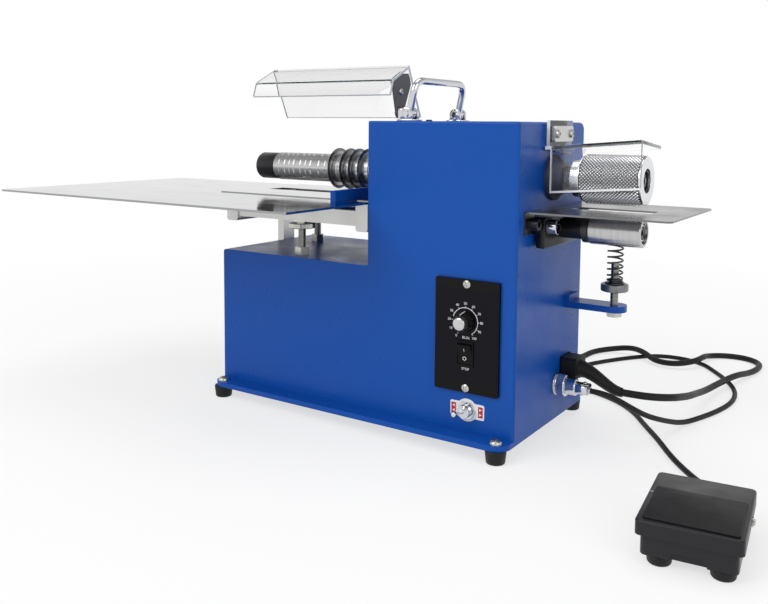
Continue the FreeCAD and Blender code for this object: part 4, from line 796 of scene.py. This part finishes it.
rollerLine = (0.0, 0.0, 185.0)
lowerRoller = dict(x=(207.3, 254.0), radius=13.0, tube=10.0, bearings=((207.3, 214.3), (245.5, 252.5)),
                   bore=6.05,
                   races=(1.3, 1.2), sealSink=0.5)
arm = dict(x=(173.0, 181.0), outline=[(-35, 197), (0, 193.6), (50, 184), (52, 181), (52, 172), (50, 170),
                                      (-43, 170), (-44, 171), (-44, 195), (-42, 197)],
           lug=((180.9, 226.3), (33.5, 52.0), (172.0, 181.0)), boss=(9.5, 201.0), collar=(12.2, 207.0),
           axle=(6.0, 252.0), axleHole=2.6)
armBolt = dict(place=(182.0, -35.0, 189.0), head=6.5, length=8.0, socket=3.2, washer=8.0, shank=4.4,
               collar=7.6)
flanges = dict(right=[(170.0, 10.5), (170.0, 21.0), (172.4, 21.0), (173.0, 20.4), (174.2, 17.6),
                      (175.0, 17.0),
                      (181.4, 14.0), (183.0, 13.0), (183.0, 10.5)],
               left=[(15.2, 10.5), (15.2, 16.0), (15.7, 16.5), (18.5, 16.5), (18.5, 10.5)],
               blocks=((18.5, 33.5), (153.5, 168.5)), halfWidth=32.0, z=(200.0, 262.0), bore=23.5)


def makeLowerRoller():
    bm = bmesh.new()
    (low, high), tube, bore = lowerRoller["x"], lowerRoller["tube"], lowerRoller["bore"]
    addTurned(bm, drum(low, high, tube, lowerRoller["radius"], 0.8), rollerLine, "x", turns=80)
    (outerRace, innerRace), sink = lowerRoller["races"], lowerRoller["sealSink"]
    for x1, x2 in lowerRoller["bearings"]:
        addTurned(bm, drum(x1, x2, tube - outerRace, tube), rollerLine, "x")
        addTurned(bm, drum(x1 + sink, x2 - sink, bore + innerRace, tube - outerRace), rollerLine, "x",
                  paint=1)
        addTurned(bm, drum(x1, x2, bore, bore + innerRace), rollerLine, "x")
    addPiece("feedRollerLow", bm, "feed_roller", "ground_steel", "turnedSteel", "softBlack",
             replaced=("lower_roller",))


def makeFeedArm():
    bm = bmesh.new()
    addPrism(bm, arm["outline"], "x", arm["x"], edge=0.8)
    addBlock(bm, *arm["lug"], edge=2.2, steps=3)
    (boss, bossEnd), (collar, collarEnd), (axle, end) = arm["boss"], arm["collar"], arm["axle"]
    addTurned(bm, drum(arm["x"][1] - 0.1, bossEnd, 0, boss, 0.8, 0), rollerLine, "x")
    hole = arm["axleHole"]
    axleLine = drum(bossEnd, collarEnd, 0, collar, 0.5, 0)[:-1] + [
        (collarEnd, axle), (end - 0.6, axle), (end, axle - 0.6), (end, hole), (end - 2.5, hole),
        (end - 3.5, 0)]
    addTurned(bm, axleLine, rollerLine, "x", paint=1)
    addPiece("feedArm", bm, "arm", "dark_plate", "blackOxide", "darkSteel", replaced=("feed_arm",))


def makeArmBolt():
    bm = bmesh.new()
    x, y, z = armBolt["place"]
    head = makeHead("armBoltHead", armBolt["head"], armBolt["length"], armBolt["socket"], "hex")
    stamp(bm, head, armBolt["place"], "right", turn=15)
    shank, collar = armBolt["shank"], armBolt["collar"]
    line = drum(170, 172.7, 0, armBolt["washer"], 0.4, 0)[:-1] + [
        (172.7, shank), (181.4, shank), (181.4, collar), (x, collar), (x, 0)]
    addTurned(bm, line, (0, y, z), "x", paint=1)
    addPiece("armPivotBolt", bm, "root", "ground_steel", "brightChrome", "darkSteel",
             replaced=("arm_pivot_bolt",))


def makeFlanges():
    bm = bmesh.new()
    for paint, side in enumerate(("left", "right")):
        addTurned(bm, flanges[side], spindleLine, "x", turns=80, paint=paint)
    for x in flanges["blocks"]:
        block, bore = bmesh.new(), bmesh.new()
        addBlock(block, x, (-flanges["halfWidth"], flanges["halfWidth"]), flanges["z"], edge=1.0)
        addTurned(bore, drum(x[0] - 1, x[1] + 1, 0, flanges["bore"]), spindleLine, "x")
        carve(block, bore)
        pour(block, bm)
    addPiece("bearingFlanges", bm, "root", "frame_metal", "milledMetal", "castGrey",
             replaced=("bearing_housings",))


makeLowerRoller()
makeFeedArm()
makeArmBolt()
makeFlanges()
print("stage 6: feed side")


# Guards and handle

guards = dict(edge=0.45, narrow=6.5, narrowOfRimmed=3.2, hingeBlock=((17.5, 24.0), (-26.0, -12.0),
                                                                     (280.0, 294.5)),
              pivot=(0.0, -18.0, 289.0), armScrew=((15.5, -18.2, 309.0), 3.2, 1.8), rimBack=-23.3,
              rims=(((177.0, -26.2, 219.1), (-0.082, 0.0, 0.997)), ((178.1, -26.2, 240.0), (1.0, 0.0, 0.0))))
handle = dict(x=44.0, y=47.0, z=287.0, lean=12.0, reach=31.5, bar=3.5, run=26.0, eye=4.8, eyeHalf=3.9,
              pin=2.5)
clevis = dict(foot=(10.0, 9.0, 1.8), footTop=281.8, ear=6.0, ears=((-7.2, -4.2), (4.2, 7.2)), pinHead=3.6,
              pinEnd=8.2)
wallHeads = dict(table=[(171.5, -54.5, 192.0), (171.5, 62.0, 192.0)], tableSize=(5.2, 9.0, 2.6),
                 guard=[(178.0, -13.0, 269.5), (178.0, 19.0, 269.5)], guardSize=(3.9, 2.4, 2.0))


def makeClearGuard(name, node, body, narrow, rims=()):
    # a merged and softened copy of the node; narrow faces and the rims, cut off by planes, are frosted and painted
    # pale: painted highlights for the light that the sheet's edges and bent rims catch
    part = bmesh.new()
    part.from_mesh(nodes[node].data)
    bmesh.ops.remove_doubles(part, verts=part.verts[:], dist=2e-6)
    bmesh.ops.dissolve_limit(part, angle_limit=math.radians(1.0), verts=part.verts[:], edges=part.edges[:])
    soften(part, guards["edge"])
    for place, way in rims:
        bmesh.ops.bisect_plane(part, geom=part.verts[:] + part.edges[:] + part.faces[:], plane_co=at(*place),
                               plane_no=way)
    bm = bmesh.new()
    pour(part, bm)
    for face in bm.faces:
        middle = face.calc_center_median()
        outside = any((middle - at(*place)).dot(Vector(way)) < 0 for place, way in rims)
        # rims get a near-white painted highlight, narrow faces a pale painted edge highlight
        if outside and middle.y < guards["rimBack"] * mm:
            face.material_index = 2
        elif face.calc_area() / max(edge.calc_length() for edge in face.edges) < narrow * mm:
            face.material_index = 1
    addPiece(name, bm, body, "clear_acrylic", "clearSheet", "clearEdgeHighlight", "clearRimHighlight", sharp=20,
             replaced=(node,))


def makeHinge():
    bm = bmesh.new()
    x, y, z = guards["hingeBlock"]
    addPrism(bm, rect(y, z), "x", x, edge=0.4, bends=(4.0, (2, 3)))
    addTurned(bm, [(10.5, 0), (10.5, 3.8), (10.9, 4.2), (12.3, 4.2), (12.3, 2.9), (24.0, 2.9), (24.6, 2.3),
                   (24.6, 0)], guards["pivot"], "x", turns=48)
    addPiece("guardHinge", bm, "root", "chrome", "brightChrome", replaced=("guard_hinge",))
    bm = bmesh.new()
    place, radius, height = guards["armScrew"]
    stamp(bm, makeHead("guardScrewHead", radius, height, 1.9), place, "right", turn=20)
    addPiece("guardArmScrew", bm, "left_guard", "zinc_screws", "nutZinc")


def makeHandle():
    x, y, z, lean = handle["x"], handle["y"], handle["z"], math.radians(handle["lean"])
    top, run = handle["reach"], handle["run"]
    spots = [(2.0, -y), (top - run, -y), (top, -y), (top, run - y), (top, 0), (top, y - run), (top, y),
             (top - run, y), (2.0, y)]
    line = [(x + along * math.sin(lean), across, z + along * math.cos(lean)) for along, across in spots]
    mesh = meshOf(smoothLine("handleLine", line, handle["bar"], 10, 8))
    part, bm = bmesh.new(), bmesh.new()
    part.from_mesh(mesh)
    bpy.data.meshes.remove(mesh)
    bmesh.ops.remove_doubles(part, verts=part.verts[:], dist=1e-7)
    pour(part, bm)
    half = handle["eyeHalf"]
    for side in (-y, y):
        addTurned(bm, drum(-half, half, handle["pin"] + 0.15, handle["eye"], 0.5), (x, side, z), "y",
                  turns=40)
    addPiece("carryHandle", bm, "handle", "chrome", "brightChrome", replaced=("carry_handle",))


def makeClevises():
    bm = bmesh.new()
    x, z, ear, top = handle["x"], handle["z"], clevis["ear"], clevis["footTop"]
    halfX, halfY, thick = clevis["foot"]
    pin, head, end = handle["pin"], clevis["pinHead"], clevis["pinEnd"]
    angles = [math.pi * i / 12 for i in range(13)]
    lobe = [(x - ear, top - 0.2), (x + ear, top - 0.2)] + [(x + ear * math.cos(a),
                                                            z + ear * math.sin(a)) for a in angles]
    for side in (-handle["y"], handle["y"]):
        addPrism(bm, rect((x - halfX, x + halfX), (side - halfY, side + halfY)), "z", (top - thick, top),
                 edge=0.4,
                 bends=(3.0, allFour))
        for low, high in clevis["ears"]:
            addPrism(bm, lobe, "y", (side + low, side + high), edge=0.4)
        addTurned(bm, [(-end, 0), (-end, head - 0.6), (0.5 - end, head), (1 - end, head), (1 - end, pin),
                       (end - 1, pin), (end - 1, head), (end - 0.5, head), (end, head - 0.6), (end, 0)],
                  (x, side, z), "y", turns=40)
    addPiece("handleClevises", bm, "root", "chrome", "brightChrome", replaced=("handle_clevises",))


def makeWallHeads():
    bm = bmesh.new()
    capHead = makeHead("tableScrewHead", *wallHeads["tableSize"], "hex")
    for place in wallHeads["table"]:
        stamp(bm, capHead, place, "right", turn=10)
    panHead = makeHead("guardBarHead", *wallHeads["guardSize"])
    for i, place in enumerate(wallHeads["guard"]):
        stamp(bm, panHead, place, "right", turn=35 + 25 * i, paint=1)
    addPiece("wallScrews", bm, "root", "zinc_screws", "blackOxide", "nutZinc", replaced=("wall_screws",))


makeClearGuard("leftGuardHood", "guard_hood", "left_guard", guards["narrow"])
makeClearGuard("rightGuardHood", "right_guard", "root", guards["narrowOfRimmed"], guards["rims"])
makeHinge()
makeHandle()
makeClevises()
makeWallHeads()
print("stage 7: guards and handle")


# Threads, nuts and the spring's rod

studs = dict(places=((-78.5, -56.0), (-129.0, 34.0)), radius=4.0, z=(132.0, 192.0), pitch=1.25, depth=0.45,
             nuts=((143.6, 151.5), (135.6, 142.1)), acrossFlats=13.0)
liftNut = dict(outer=13.35, z=(170.8, 176.2), collar=6.5, top=180.0, bore=4.2, notches=60, notch=0.45)
springPost = dict(place=(214.3, 45.5), rod=3.8, z=(98.2, 150.0), nut=(99.0, 104.0), disc=(12.7, 123.0, 130.0),
                  seat=(9.0, 130.0, 131.5), pilot=(5.4, 134.5), bore=4.0)


def threadOutline(low, high, radius, pitch, depth):
    outline = [(low, 0), (low, radius - depth)]
    for i in range(int((high - low - 0.6) / pitch)):
        z = low + 0.3 + i * pitch
        outline += [(z + pitch * 0.35, radius), (z + pitch * 0.65, radius), (z + pitch, radius - depth)]
    return outline + [(high, radius - depth), (high, 0)]


def addNut(bm, place, z, acrossFlats, paint=0):
    # six-sided nut with its corners turned off at both ends
    nut, tool = bmesh.new(), bmesh.new()
    addPrism(nut, hexOutline(acrossFlats, place), "z", z, paint=paint)
    corner, flat, (low, high) = acrossFlats / math.sqrt(3), acrossFlats / 2, z
    fall = (corner - flat) * 0.6
    addTurned(tool, [(low - 1, flat - 0.2), (low + fall, corner + 0.1), (high - fall, corner + 0.1),
                     (high + 1, flat - 0.2), (high + 1, corner + 2), (low - 1, corner + 2)],
              (*place, 0.0), "z", turns=48)
    carve(nut, tool)
    pour(nut, bm, paint)


def makeRod(name, node, places, radius, z, nuts):
    bm = bmesh.new()
    for place in places:
        addTurned(bm, threadOutline(*z, radius, studs["pitch"], studs["depth"]), (*place, 0.0), "z", turns=32)
        for span in nuts:
            addNut(bm, place, span, studs["acrossFlats"], paint=1)
    addPiece(name, bm, "root", "ground_steel", "threadSteel", "nutZinc", replaced=(node,))


def makeLiftNuts():
    (low, high), r, collar, top, bore = (liftNut[key] for key in ("z", "outer", "collar", "top", "bore"))
    outline = [(low, bore), (low, r - 0.8), (low + 0.6, r), (high - 0.6, r), (high, r - 0.8), (high, collar),
               (top, collar), (top, bore)]
    for side, place in zip(("front", "rear"), studs["places"]):
        turnPiece(side + "LiftNut", side + "_nut", "zinc_screws", "nutZinc", side + "_lift_nut", outline,
                  (*place, 0.0), "z", liftNut["notches"] * 2,
                  lambda part: notchRim(part, 0, 1, r - 1.0, liftNut["notches"], liftNut["notch"]))


def makeSpringPost():
    centre, bore = (*springPost["place"], 0.0), springPost["bore"]
    r, low, high = springPost["disc"]
    disc = [(low, bore), (low, r - 1.0), (low + 0.4, r - 0.3), (low + 1.2, r), (high - 1.2, r),
            (high - 0.4, r - 0.3), (high, r - 1.0), (high, bore)]
    turnPiece("tensionNut", "nut", "zinc_screws", "discGrey", "tension_nut", disc, centre, "z", 72)
    (r, low, high), (pilot, top) = springPost["seat"], springPost["pilot"]
    seat = drum(low, high, bore, r, 0.3)[:-1] + [(high, pilot), (top, pilot), (top + 0.4, pilot - 0.4),
                                                 (top + 0.4, bore)]
    turnPiece("tensionSeat", "spring_seat", "frame_metal", "darkSteel", "tension_seat", seat, centre, "z", 64)


makeRod("tableStuds", "table_studs", studs["places"], studs["radius"], studs["z"], studs["nuts"])
makeLiftNuts()
makeRod("tensionRod", "tension_rod", [springPost["place"]], springPost["rod"], springPost["z"],
        [springPost["nut"]])
makeSpringPost()
print("stage 8: threads and nuts")


# Controls

dial = dict(centre=(123.4, 105.0), face=-78.5, ring=12.3, ringWide=0.55, numbers=16.0, lastOut=0.6,
            height=2.3,
            start=237.0, step=29.4, gap=(165.0, 302.0), tick=(1.3, 0.06, 0.35), tickOut=0.8)
panel = dict(label=((94.2, 154.8), (50.6, 132.6)), thick=0.15, screws=((124.5, 138.2), (124.5, 45.4)),
             screwHead=(3.7, 1.7, 2.2), words=(("RUN", 124.2, 90.6, 2.5), ("STOP", 124.2, 62.6, 2.3)))
knob = dict(base=-79.1, skirt=((0.0, 9.2), (1.8, 9.0), (9.6, 7.6), (10.2, 6.9), (10.6, 6.2)), flutes=12,
            fluteDepth=0.8, flutedFrom=6.9, cap=((10.6, 5.7), (11.8, 5.7), (12.3, 5.3), (12.7, 4.2),
                                                 (12.7, 0)),
            pointer=0.9, stem=3.0, stemEnd=16.6)
rocker = dict(x=123.55, z=76.3, middle=0.9, marks=(("I", 3.4, 3.0, 2.7 / 8.2), ("O", -4.4, 3.6, 0.3 / 8.8)))
toggle = dict(place=(124.9, 24.9), face=-75.5, label=((108.2, 142.0), 6.9), disc=10.3, red=(2.3, 4.9),
              redOut=13.4,
              nut=15.0, nutThick=2.6, bushing=6.0, bushingEnd=7.5, lean=-15.0, ball=(3.0, 2.6), lever=17.0,
              tip=((9, 1.5), (6, 1.8), (4, 2.4), (2.4, 2.7), (1.2, 2.55), (0.4, 1.9), (0, 0.9), (0, 0)))


def keepArc(part):
    # leaves a gap in the dial's printed ring
    spare = []
    for face in part.faces:
        middle = face.calc_center_median()
        if dial["gap"][0] < math.degrees(math.atan2(middle.z, middle.x)) % 360 < dial["gap"][1]:
            spare.append(face)
    bmesh.ops.delete(part, geom=spare, context="FACES")
    bmesh.ops.holes_fill(part, edges=[edge for edge in part.edges if edge.is_boundary], sides=6)


def makePanelPrint():
    bm = bmesh.new()
    (cx, cz), face, ring, wide = dial["centre"], dial["face"] - panel["thick"], dial["ring"], dial["ringWide"] / 2
    addTurned(bm, drum(0, -0.05, ring - wide, ring + wide), (cx, face, cz), "y", turns=180, shape=keepArc)
    for i in range(11):
        angle = math.radians(dial["start"] - dial["step"] * i)
        c, s = math.cos(angle), math.sin(angle)
        reach, out = dial["numbers"] + (dial["lastOut"] if i == 10 else 0.0), ring + dial["tickOut"]
        addWords(bm, str(i * 10), dial["height"], (cx + reach * c, face - 0.03, cz + reach * s))
        tick = bmesh.new()
        bmesh.ops.create_cube(tick, size=1.0)
        bmesh.ops.scale(tick, vec=at(*dial["tick"]), verts=tick.verts[:])
        tick.transform(Matrix.Translation(at(cx + out * c, face, cz + out * s)) @ Matrix.Rotation(-angle,
                                                                                                  4, "Y"))
        pour(tick, bm)
    for words, x, z, height in panel["words"]:
        addWords(bm, words, height, (x, face - 0.03, z))
    addPiece("panelPrint", bm, "root", "black_panel", "printWhite")
    bm = bmesh.new()
    addPrism(bm, rect(*panel["label"]), "y", (face, dial["face"] + 0.05))
    addPiece("panelLabel", bm, "root", "black_panel", "labelBlack")
    bm = bmesh.new()
    head = makeHead("panelScrewHead", *panel["screwHead"])
    for i, (x, z) in enumerate(panel["screws"]):
        stamp(bm, head, (x, dial["face"], z), "front", turn=20 + 30 * i)
    addPiece("panelScrews", bm, "root", "zinc_screws", "nutZinc")


def fluteKnob(part):
    for vert in part.verts:
        radius = math.hypot(vert.co.x, vert.co.z)
        if radius > knob["flutedFrom"] * mm:
            angle = math.atan2(vert.co.z, vert.co.x) * knob["flutes"]
            dip = knob["fluteDepth"] * mm * (0.5 - 0.5 * math.cos(angle)) ** 2
            vert.co.x *= 1 - dip / radius
            vert.co.z *= 1 - dip / radius


def makeKnob():
    bm = bmesh.new()
    (cx, cz), base, end, stem = dial["centre"], knob["base"], knob["skirt"][-1][0], knob["stem"]
    place = (cx, base, cz)
    skirt, cap = ([(-a, r) for a, r in knob[key]] for key in ("skirt", "cap"))
    addTurned(bm, [(0, stem)] + skirt + [(-end, 0)], place, "y", turns=144, shape=fluteKnob)
    addTurned(bm, cap + [(-end, 0)], place, "y", turns=64, paint=1)
    half, (a1, r1), (a2, r2) = knob["pointer"] / 2, knob["skirt"][0], knob["skirt"][2]
    addPrism(bm, [(base - a1 - 0.4, cz + r1 + 0.05), (base - a2, cz + r2 + 0.08), (base - a2, cz + r2 - 0.6),
                  (base - a1 - 0.4, cz + r1 - 0.6)], "x", (cx - half, cx + half), paint=2)
    addTurned(bm, drum(0, knob["stemEnd"], 0, stem), place, "y", turns=32, paint=1)
    addPiece("speedKnob", bm, "knob", "black_knob", "knobBlack", "capSteel", "printWhite",
             replaced=("speed_knob",))


def makeRockerPrint():
    bm = bmesh.new()
    for words, dz, height, slope in rocker["marks"]:
        # the button's two faces lean out from its lower edge and from its middle
        y = dial["face"] - rocker["middle"] - dz * slope - 0.05
        part = bmesh.new()
        addWords(part, words, height, (0, 0, 0))
        part.transform(Matrix.Translation(at(rocker["x"], y, rocker["z"] + dz))
                       @ Matrix.Rotation(math.atan(slope), 4, "X"))
        pour(part, bm)
    addPiece("rockerPrint", bm, "rocker", "black_panel", "printWhite")


def makeToggle():
    bm = bmesh.new()
    (x, z), face = toggle["place"], toggle["face"]
    addTurned(bm, threadOutline(0, 9.0, toggle["bushing"], 1.0, 0.3), (x, face - toggle["bushingEnd"], z),
              "y",
              turns=48)
    nut = bmesh.new()
    addNut(nut, (0.0, 0.0), (0.0, toggle["nutThick"]), toggle["nut"])
    nut.transform(Matrix.Translation(at(x, face, z)) @ facing["front"])
    pour(nut, bm)
    addPiece("toggleBushing", bm, "root", "chrome", "brightChrome", replaced=("toggle_switch",))
    bm = bmesh.new()
    sink, ball = toggle["ball"]
    lean = Matrix.Rotation(math.radians(toggle["lean"]), 3, "Z")
    profile = [(ball * math.cos(math.pi * i / 12), ball * math.sin(math.pi * i / 12)) for i in range(10)]
    profile += [(a - toggle["lever"], r) for a, r in toggle["tip"]]
    addTurned(bm, profile, (x, face - sink, z), "y", turns=48,
              shape=lambda part: bmesh.ops.rotate(part, cent=(0, 0, 0), matrix=lean, verts=part.verts[:]))
    addPiece("toggleLever", bm, "toggle", "chrome", "brightChrome", sharp=50, replaced=("toggle_lever",))
    bm = bmesh.new()
    across, half = toggle["label"]
    addPrism(bm, rect(across, (z - half, z + half)), "y", (face - 0.12, face + 0.02), bends=(1.6, allFour))
    addTurned(bm, drum(0.02, -0.14, 0, toggle["disc"]), (x, face, z), "y", turns=80)
    wide, high = toggle["red"]
    for side in (-1, 1):
        middle = x + side * toggle["redOut"]
        addPrism(bm, rect((middle - wide, middle + wide), (z - high, z + high)), "y", (face - 0.18, face),
                 paint=1)
        back, point = middle - side * 1.1, middle + side * 1.3
        for dz in (-2.2, 2.2):
            addPrism(bm, [(back, z + dz - 1.3), (point, z + dz), (back, z + dz + 1.3)], "y",
                     (face - 0.22, face))
    addPiece("toggleLabel", bm, "root", "blue_paint", "printWhite", "printRed")


makePanelPrint()
makeKnob()
makeRockerPrint()
makeToggle()
print("stage 9: controls")


# Feet, foot screws and small marks of the case

stand = dict(spots=[(159.0, -86.5), (159.0, 86.5), (-161.0, -86.5), (-161.0, 86.5)], floor=-12.0, radius=9.5,
             head=(5.6, 3.6, 3.3), shank=2.4, wallMark=((170.0, 58.5, 109.5), 1.2),
             topScrew=((60.0, -38.0, 280.0), (3.2, 1.6, 1.9)))
pedal = dict(centre=(338.9, -140.3), turn=5.9, half=(34.0, 45.0), z=(9.0, 19.0), corner=4.0, edge=1.3,
             wall=2.0,
             roof=2.4, pivot=(8.0, 10.5), mat=((-30.0, 31.0), (-40.0, 15.0), (19.0, 20.2)),
             base=((30.8, 41.8), (-5.5, 13.5)), arch=(19.0, 5.5), gland=((8.0, 3.6), (39.3, 3.4), (41.8, 4.6),
                                                                        (43.4, 4.6), (44.0, 4.2),
                                                                        (53.0, 3.3)),
             feet=[(-19.0, -33.5), (-19.0, 33.5), (21.0, -33.5), (21.0, 33.5)], rivet=(-31.9, 5.0, 1.2, 0.4))
pedalPlace = (Matrix.Translation(at(*pedal["centre"], 0))
              @ Matrix.Rotation(math.radians(pedal["turn"]), 4, "Z"))


def makeFeet():
    bm, soles = bmesh.new(), bmesh.new()
    low, r = stand["floor"], stand["radius"]
    for spot in stand["spots"]:
        addTurned(bm, [(low, 0), (low, r - 2.4), (low + 0.4, r - 1.6), (low + 1.2, r - 1.1), (-0.6, r),
                       (0.0, r - 0.4), (0.0, 0)], (*spot, 0.0), "z", turns=48)
    for spot in pedal["feet"]:
        addTurned(soles, [(low, 0), (low, 6.4), (low + 0.5, 7.3), (low + 1.4, 8.0), (-6.0, 8.6), (-5.5, 8.3),
                          (-5.5, 0)], (*spot, 0.0), "z", turns=40)
    soles.transform(pedalPlace)
    pour(soles, bm)
    addPiece("rubberFeet", bm, "root", "black_rubber", "softBlack", replaced=("rubber_feet",))
    bm = bmesh.new()
    head = makeHead("footScrewHead", *stand["head"])
    for i, (x, y) in enumerate(stand["spots"]):
        stamp(bm, head, (x, y, 5.0), "up", turn=25 + 40 * i)
        addTurned(bm, drum(0.2, 5.1, 0, stand["shank"]), (x, y, 0.0), "z", turns=24)
    addPiece("footScrews", bm, "root", "zinc_screws", "nutZinc", replaced=("foot_screws",))
    bm = bmesh.new()
    place, radius = stand["wallMark"]
    addTurned(bm, drum(-0.5, 0.05, 0, radius), place, "x", turns=24)
    place, size = stand["topScrew"]
    stamp(bm, makeHead("topScrewHead", *size), place, "up", turn=30)
    addPiece("caseMarks", bm, "root", "dark_plate", "blackOxide")


def makeTreadle():
    # cover: an open box with its corners, top edges and inner walls, then its pin and rivet
    (hx, hy), (low, high), wall = pedal["half"], pedal["z"], pedal["wall"]
    part, hollow, bm, pin = bmesh.new(), bmesh.new(), bmesh.new(), bmesh.new()
    addPrism(part, rect((-hx, hx), (-hy, hy)), "z", (low, high), bends=(pedal["corner"], allFour))
    top = [edge for edge in sharpEdges(part) if min(vert.co.z for vert in edge.verts) > (high - 0.1) * mm]
    soften(part, pedal["edge"], 3, top)
    addPrism(hollow, rect((wall - hx, hx - wall), (wall - hy, hy - wall)), "z",
             (low - 1, high - pedal["roof"]),
             bends=(2.0, allFour))
    carve(part, hollow)
    part.transform(pedalPlace)
    pour(part, bm)
    addTurned(pin, [(-hx - 1.4, 0), (-hx - 1.4, 1.6), (-hx - 1.0, 2.0), (hx + 0.1, 2.0), (hx + 0.1, 3.4),
                    (hx + 0.9, 3.4), (hx + 0.9, 2.2), (hx + 1.6, 2.2), (hx + 2.0, 1.8), (hx + 2.0, 0)],
              (0, *pedal["pivot"]), "x", turns=32)
    x, y, radius, rise = pedal["rivet"]
    addTurned(pin, [(high - 1, 0), (high - 1, radius), (high + rise / 2, radius), (high + rise, radius / 2),
                    (high + rise, 0)], (x, y, 0), "z", turns=24)
    pin.transform(pedalPlace)
    pour(pin, bm, paint=1)
    addPiece("pedalTreadle", bm, "treadle", "pedal_plastic", "pedalBlack", "nutZinc",
             replaced=("pedal_treadle",))
    bm = bmesh.new()
    x, y, z = pedal["mat"]
    addPrism(bm, rect(x, y), "z", z, edge=0.4, bends=(2.5, allFour))
    bm.transform(pedalPlace)
    addPiece("pedalMat", bm, "treadle", "black_rubber", "softBlack", replaced=("pedal_mat",))


def makePedalBase():
    (hx, hy), (low, high), (inset, rise) = pedal["base"], pedal["z"], pedal["arch"]
    low, high = pedal["base"][1]
    hx, hy = pedal["base"][0]
    part, tool, bm = bmesh.new(), bmesh.new(), bmesh.new()
    addPrism(part, rect((-hx, hx), (-hy, hy)), "z", (low, high), edge=0.8, bends=(4.0, allFour))
    addPrism(tool, [(inset - hx - 1, low - 1), (inset - hx + 2.5, low + rise), (hx - inset - 2.5, low + rise),
                    (hx - inset + 1, low - 1)], "y", (-hy - 1, -hy + 3.0), bends=(2.0, (1, 2)))
    carve(part, tool)
    (gx, gz), *gland = pedal["gland"]
    addTurned(part, [(gland[0][0], 0), *gland, (gland[-1][0], 0)], (gx, 0, gz), "y", turns=32)
    part.transform(pedalPlace)
    pour(part, bm)
    addPiece("pedalBase", bm, "root", "pedal_plastic", "pedalBlack", replaced=("pedal_base",))


makeFeet()
makeTreadle()
makePedalBase()
print("stage 10: feet and pedal")
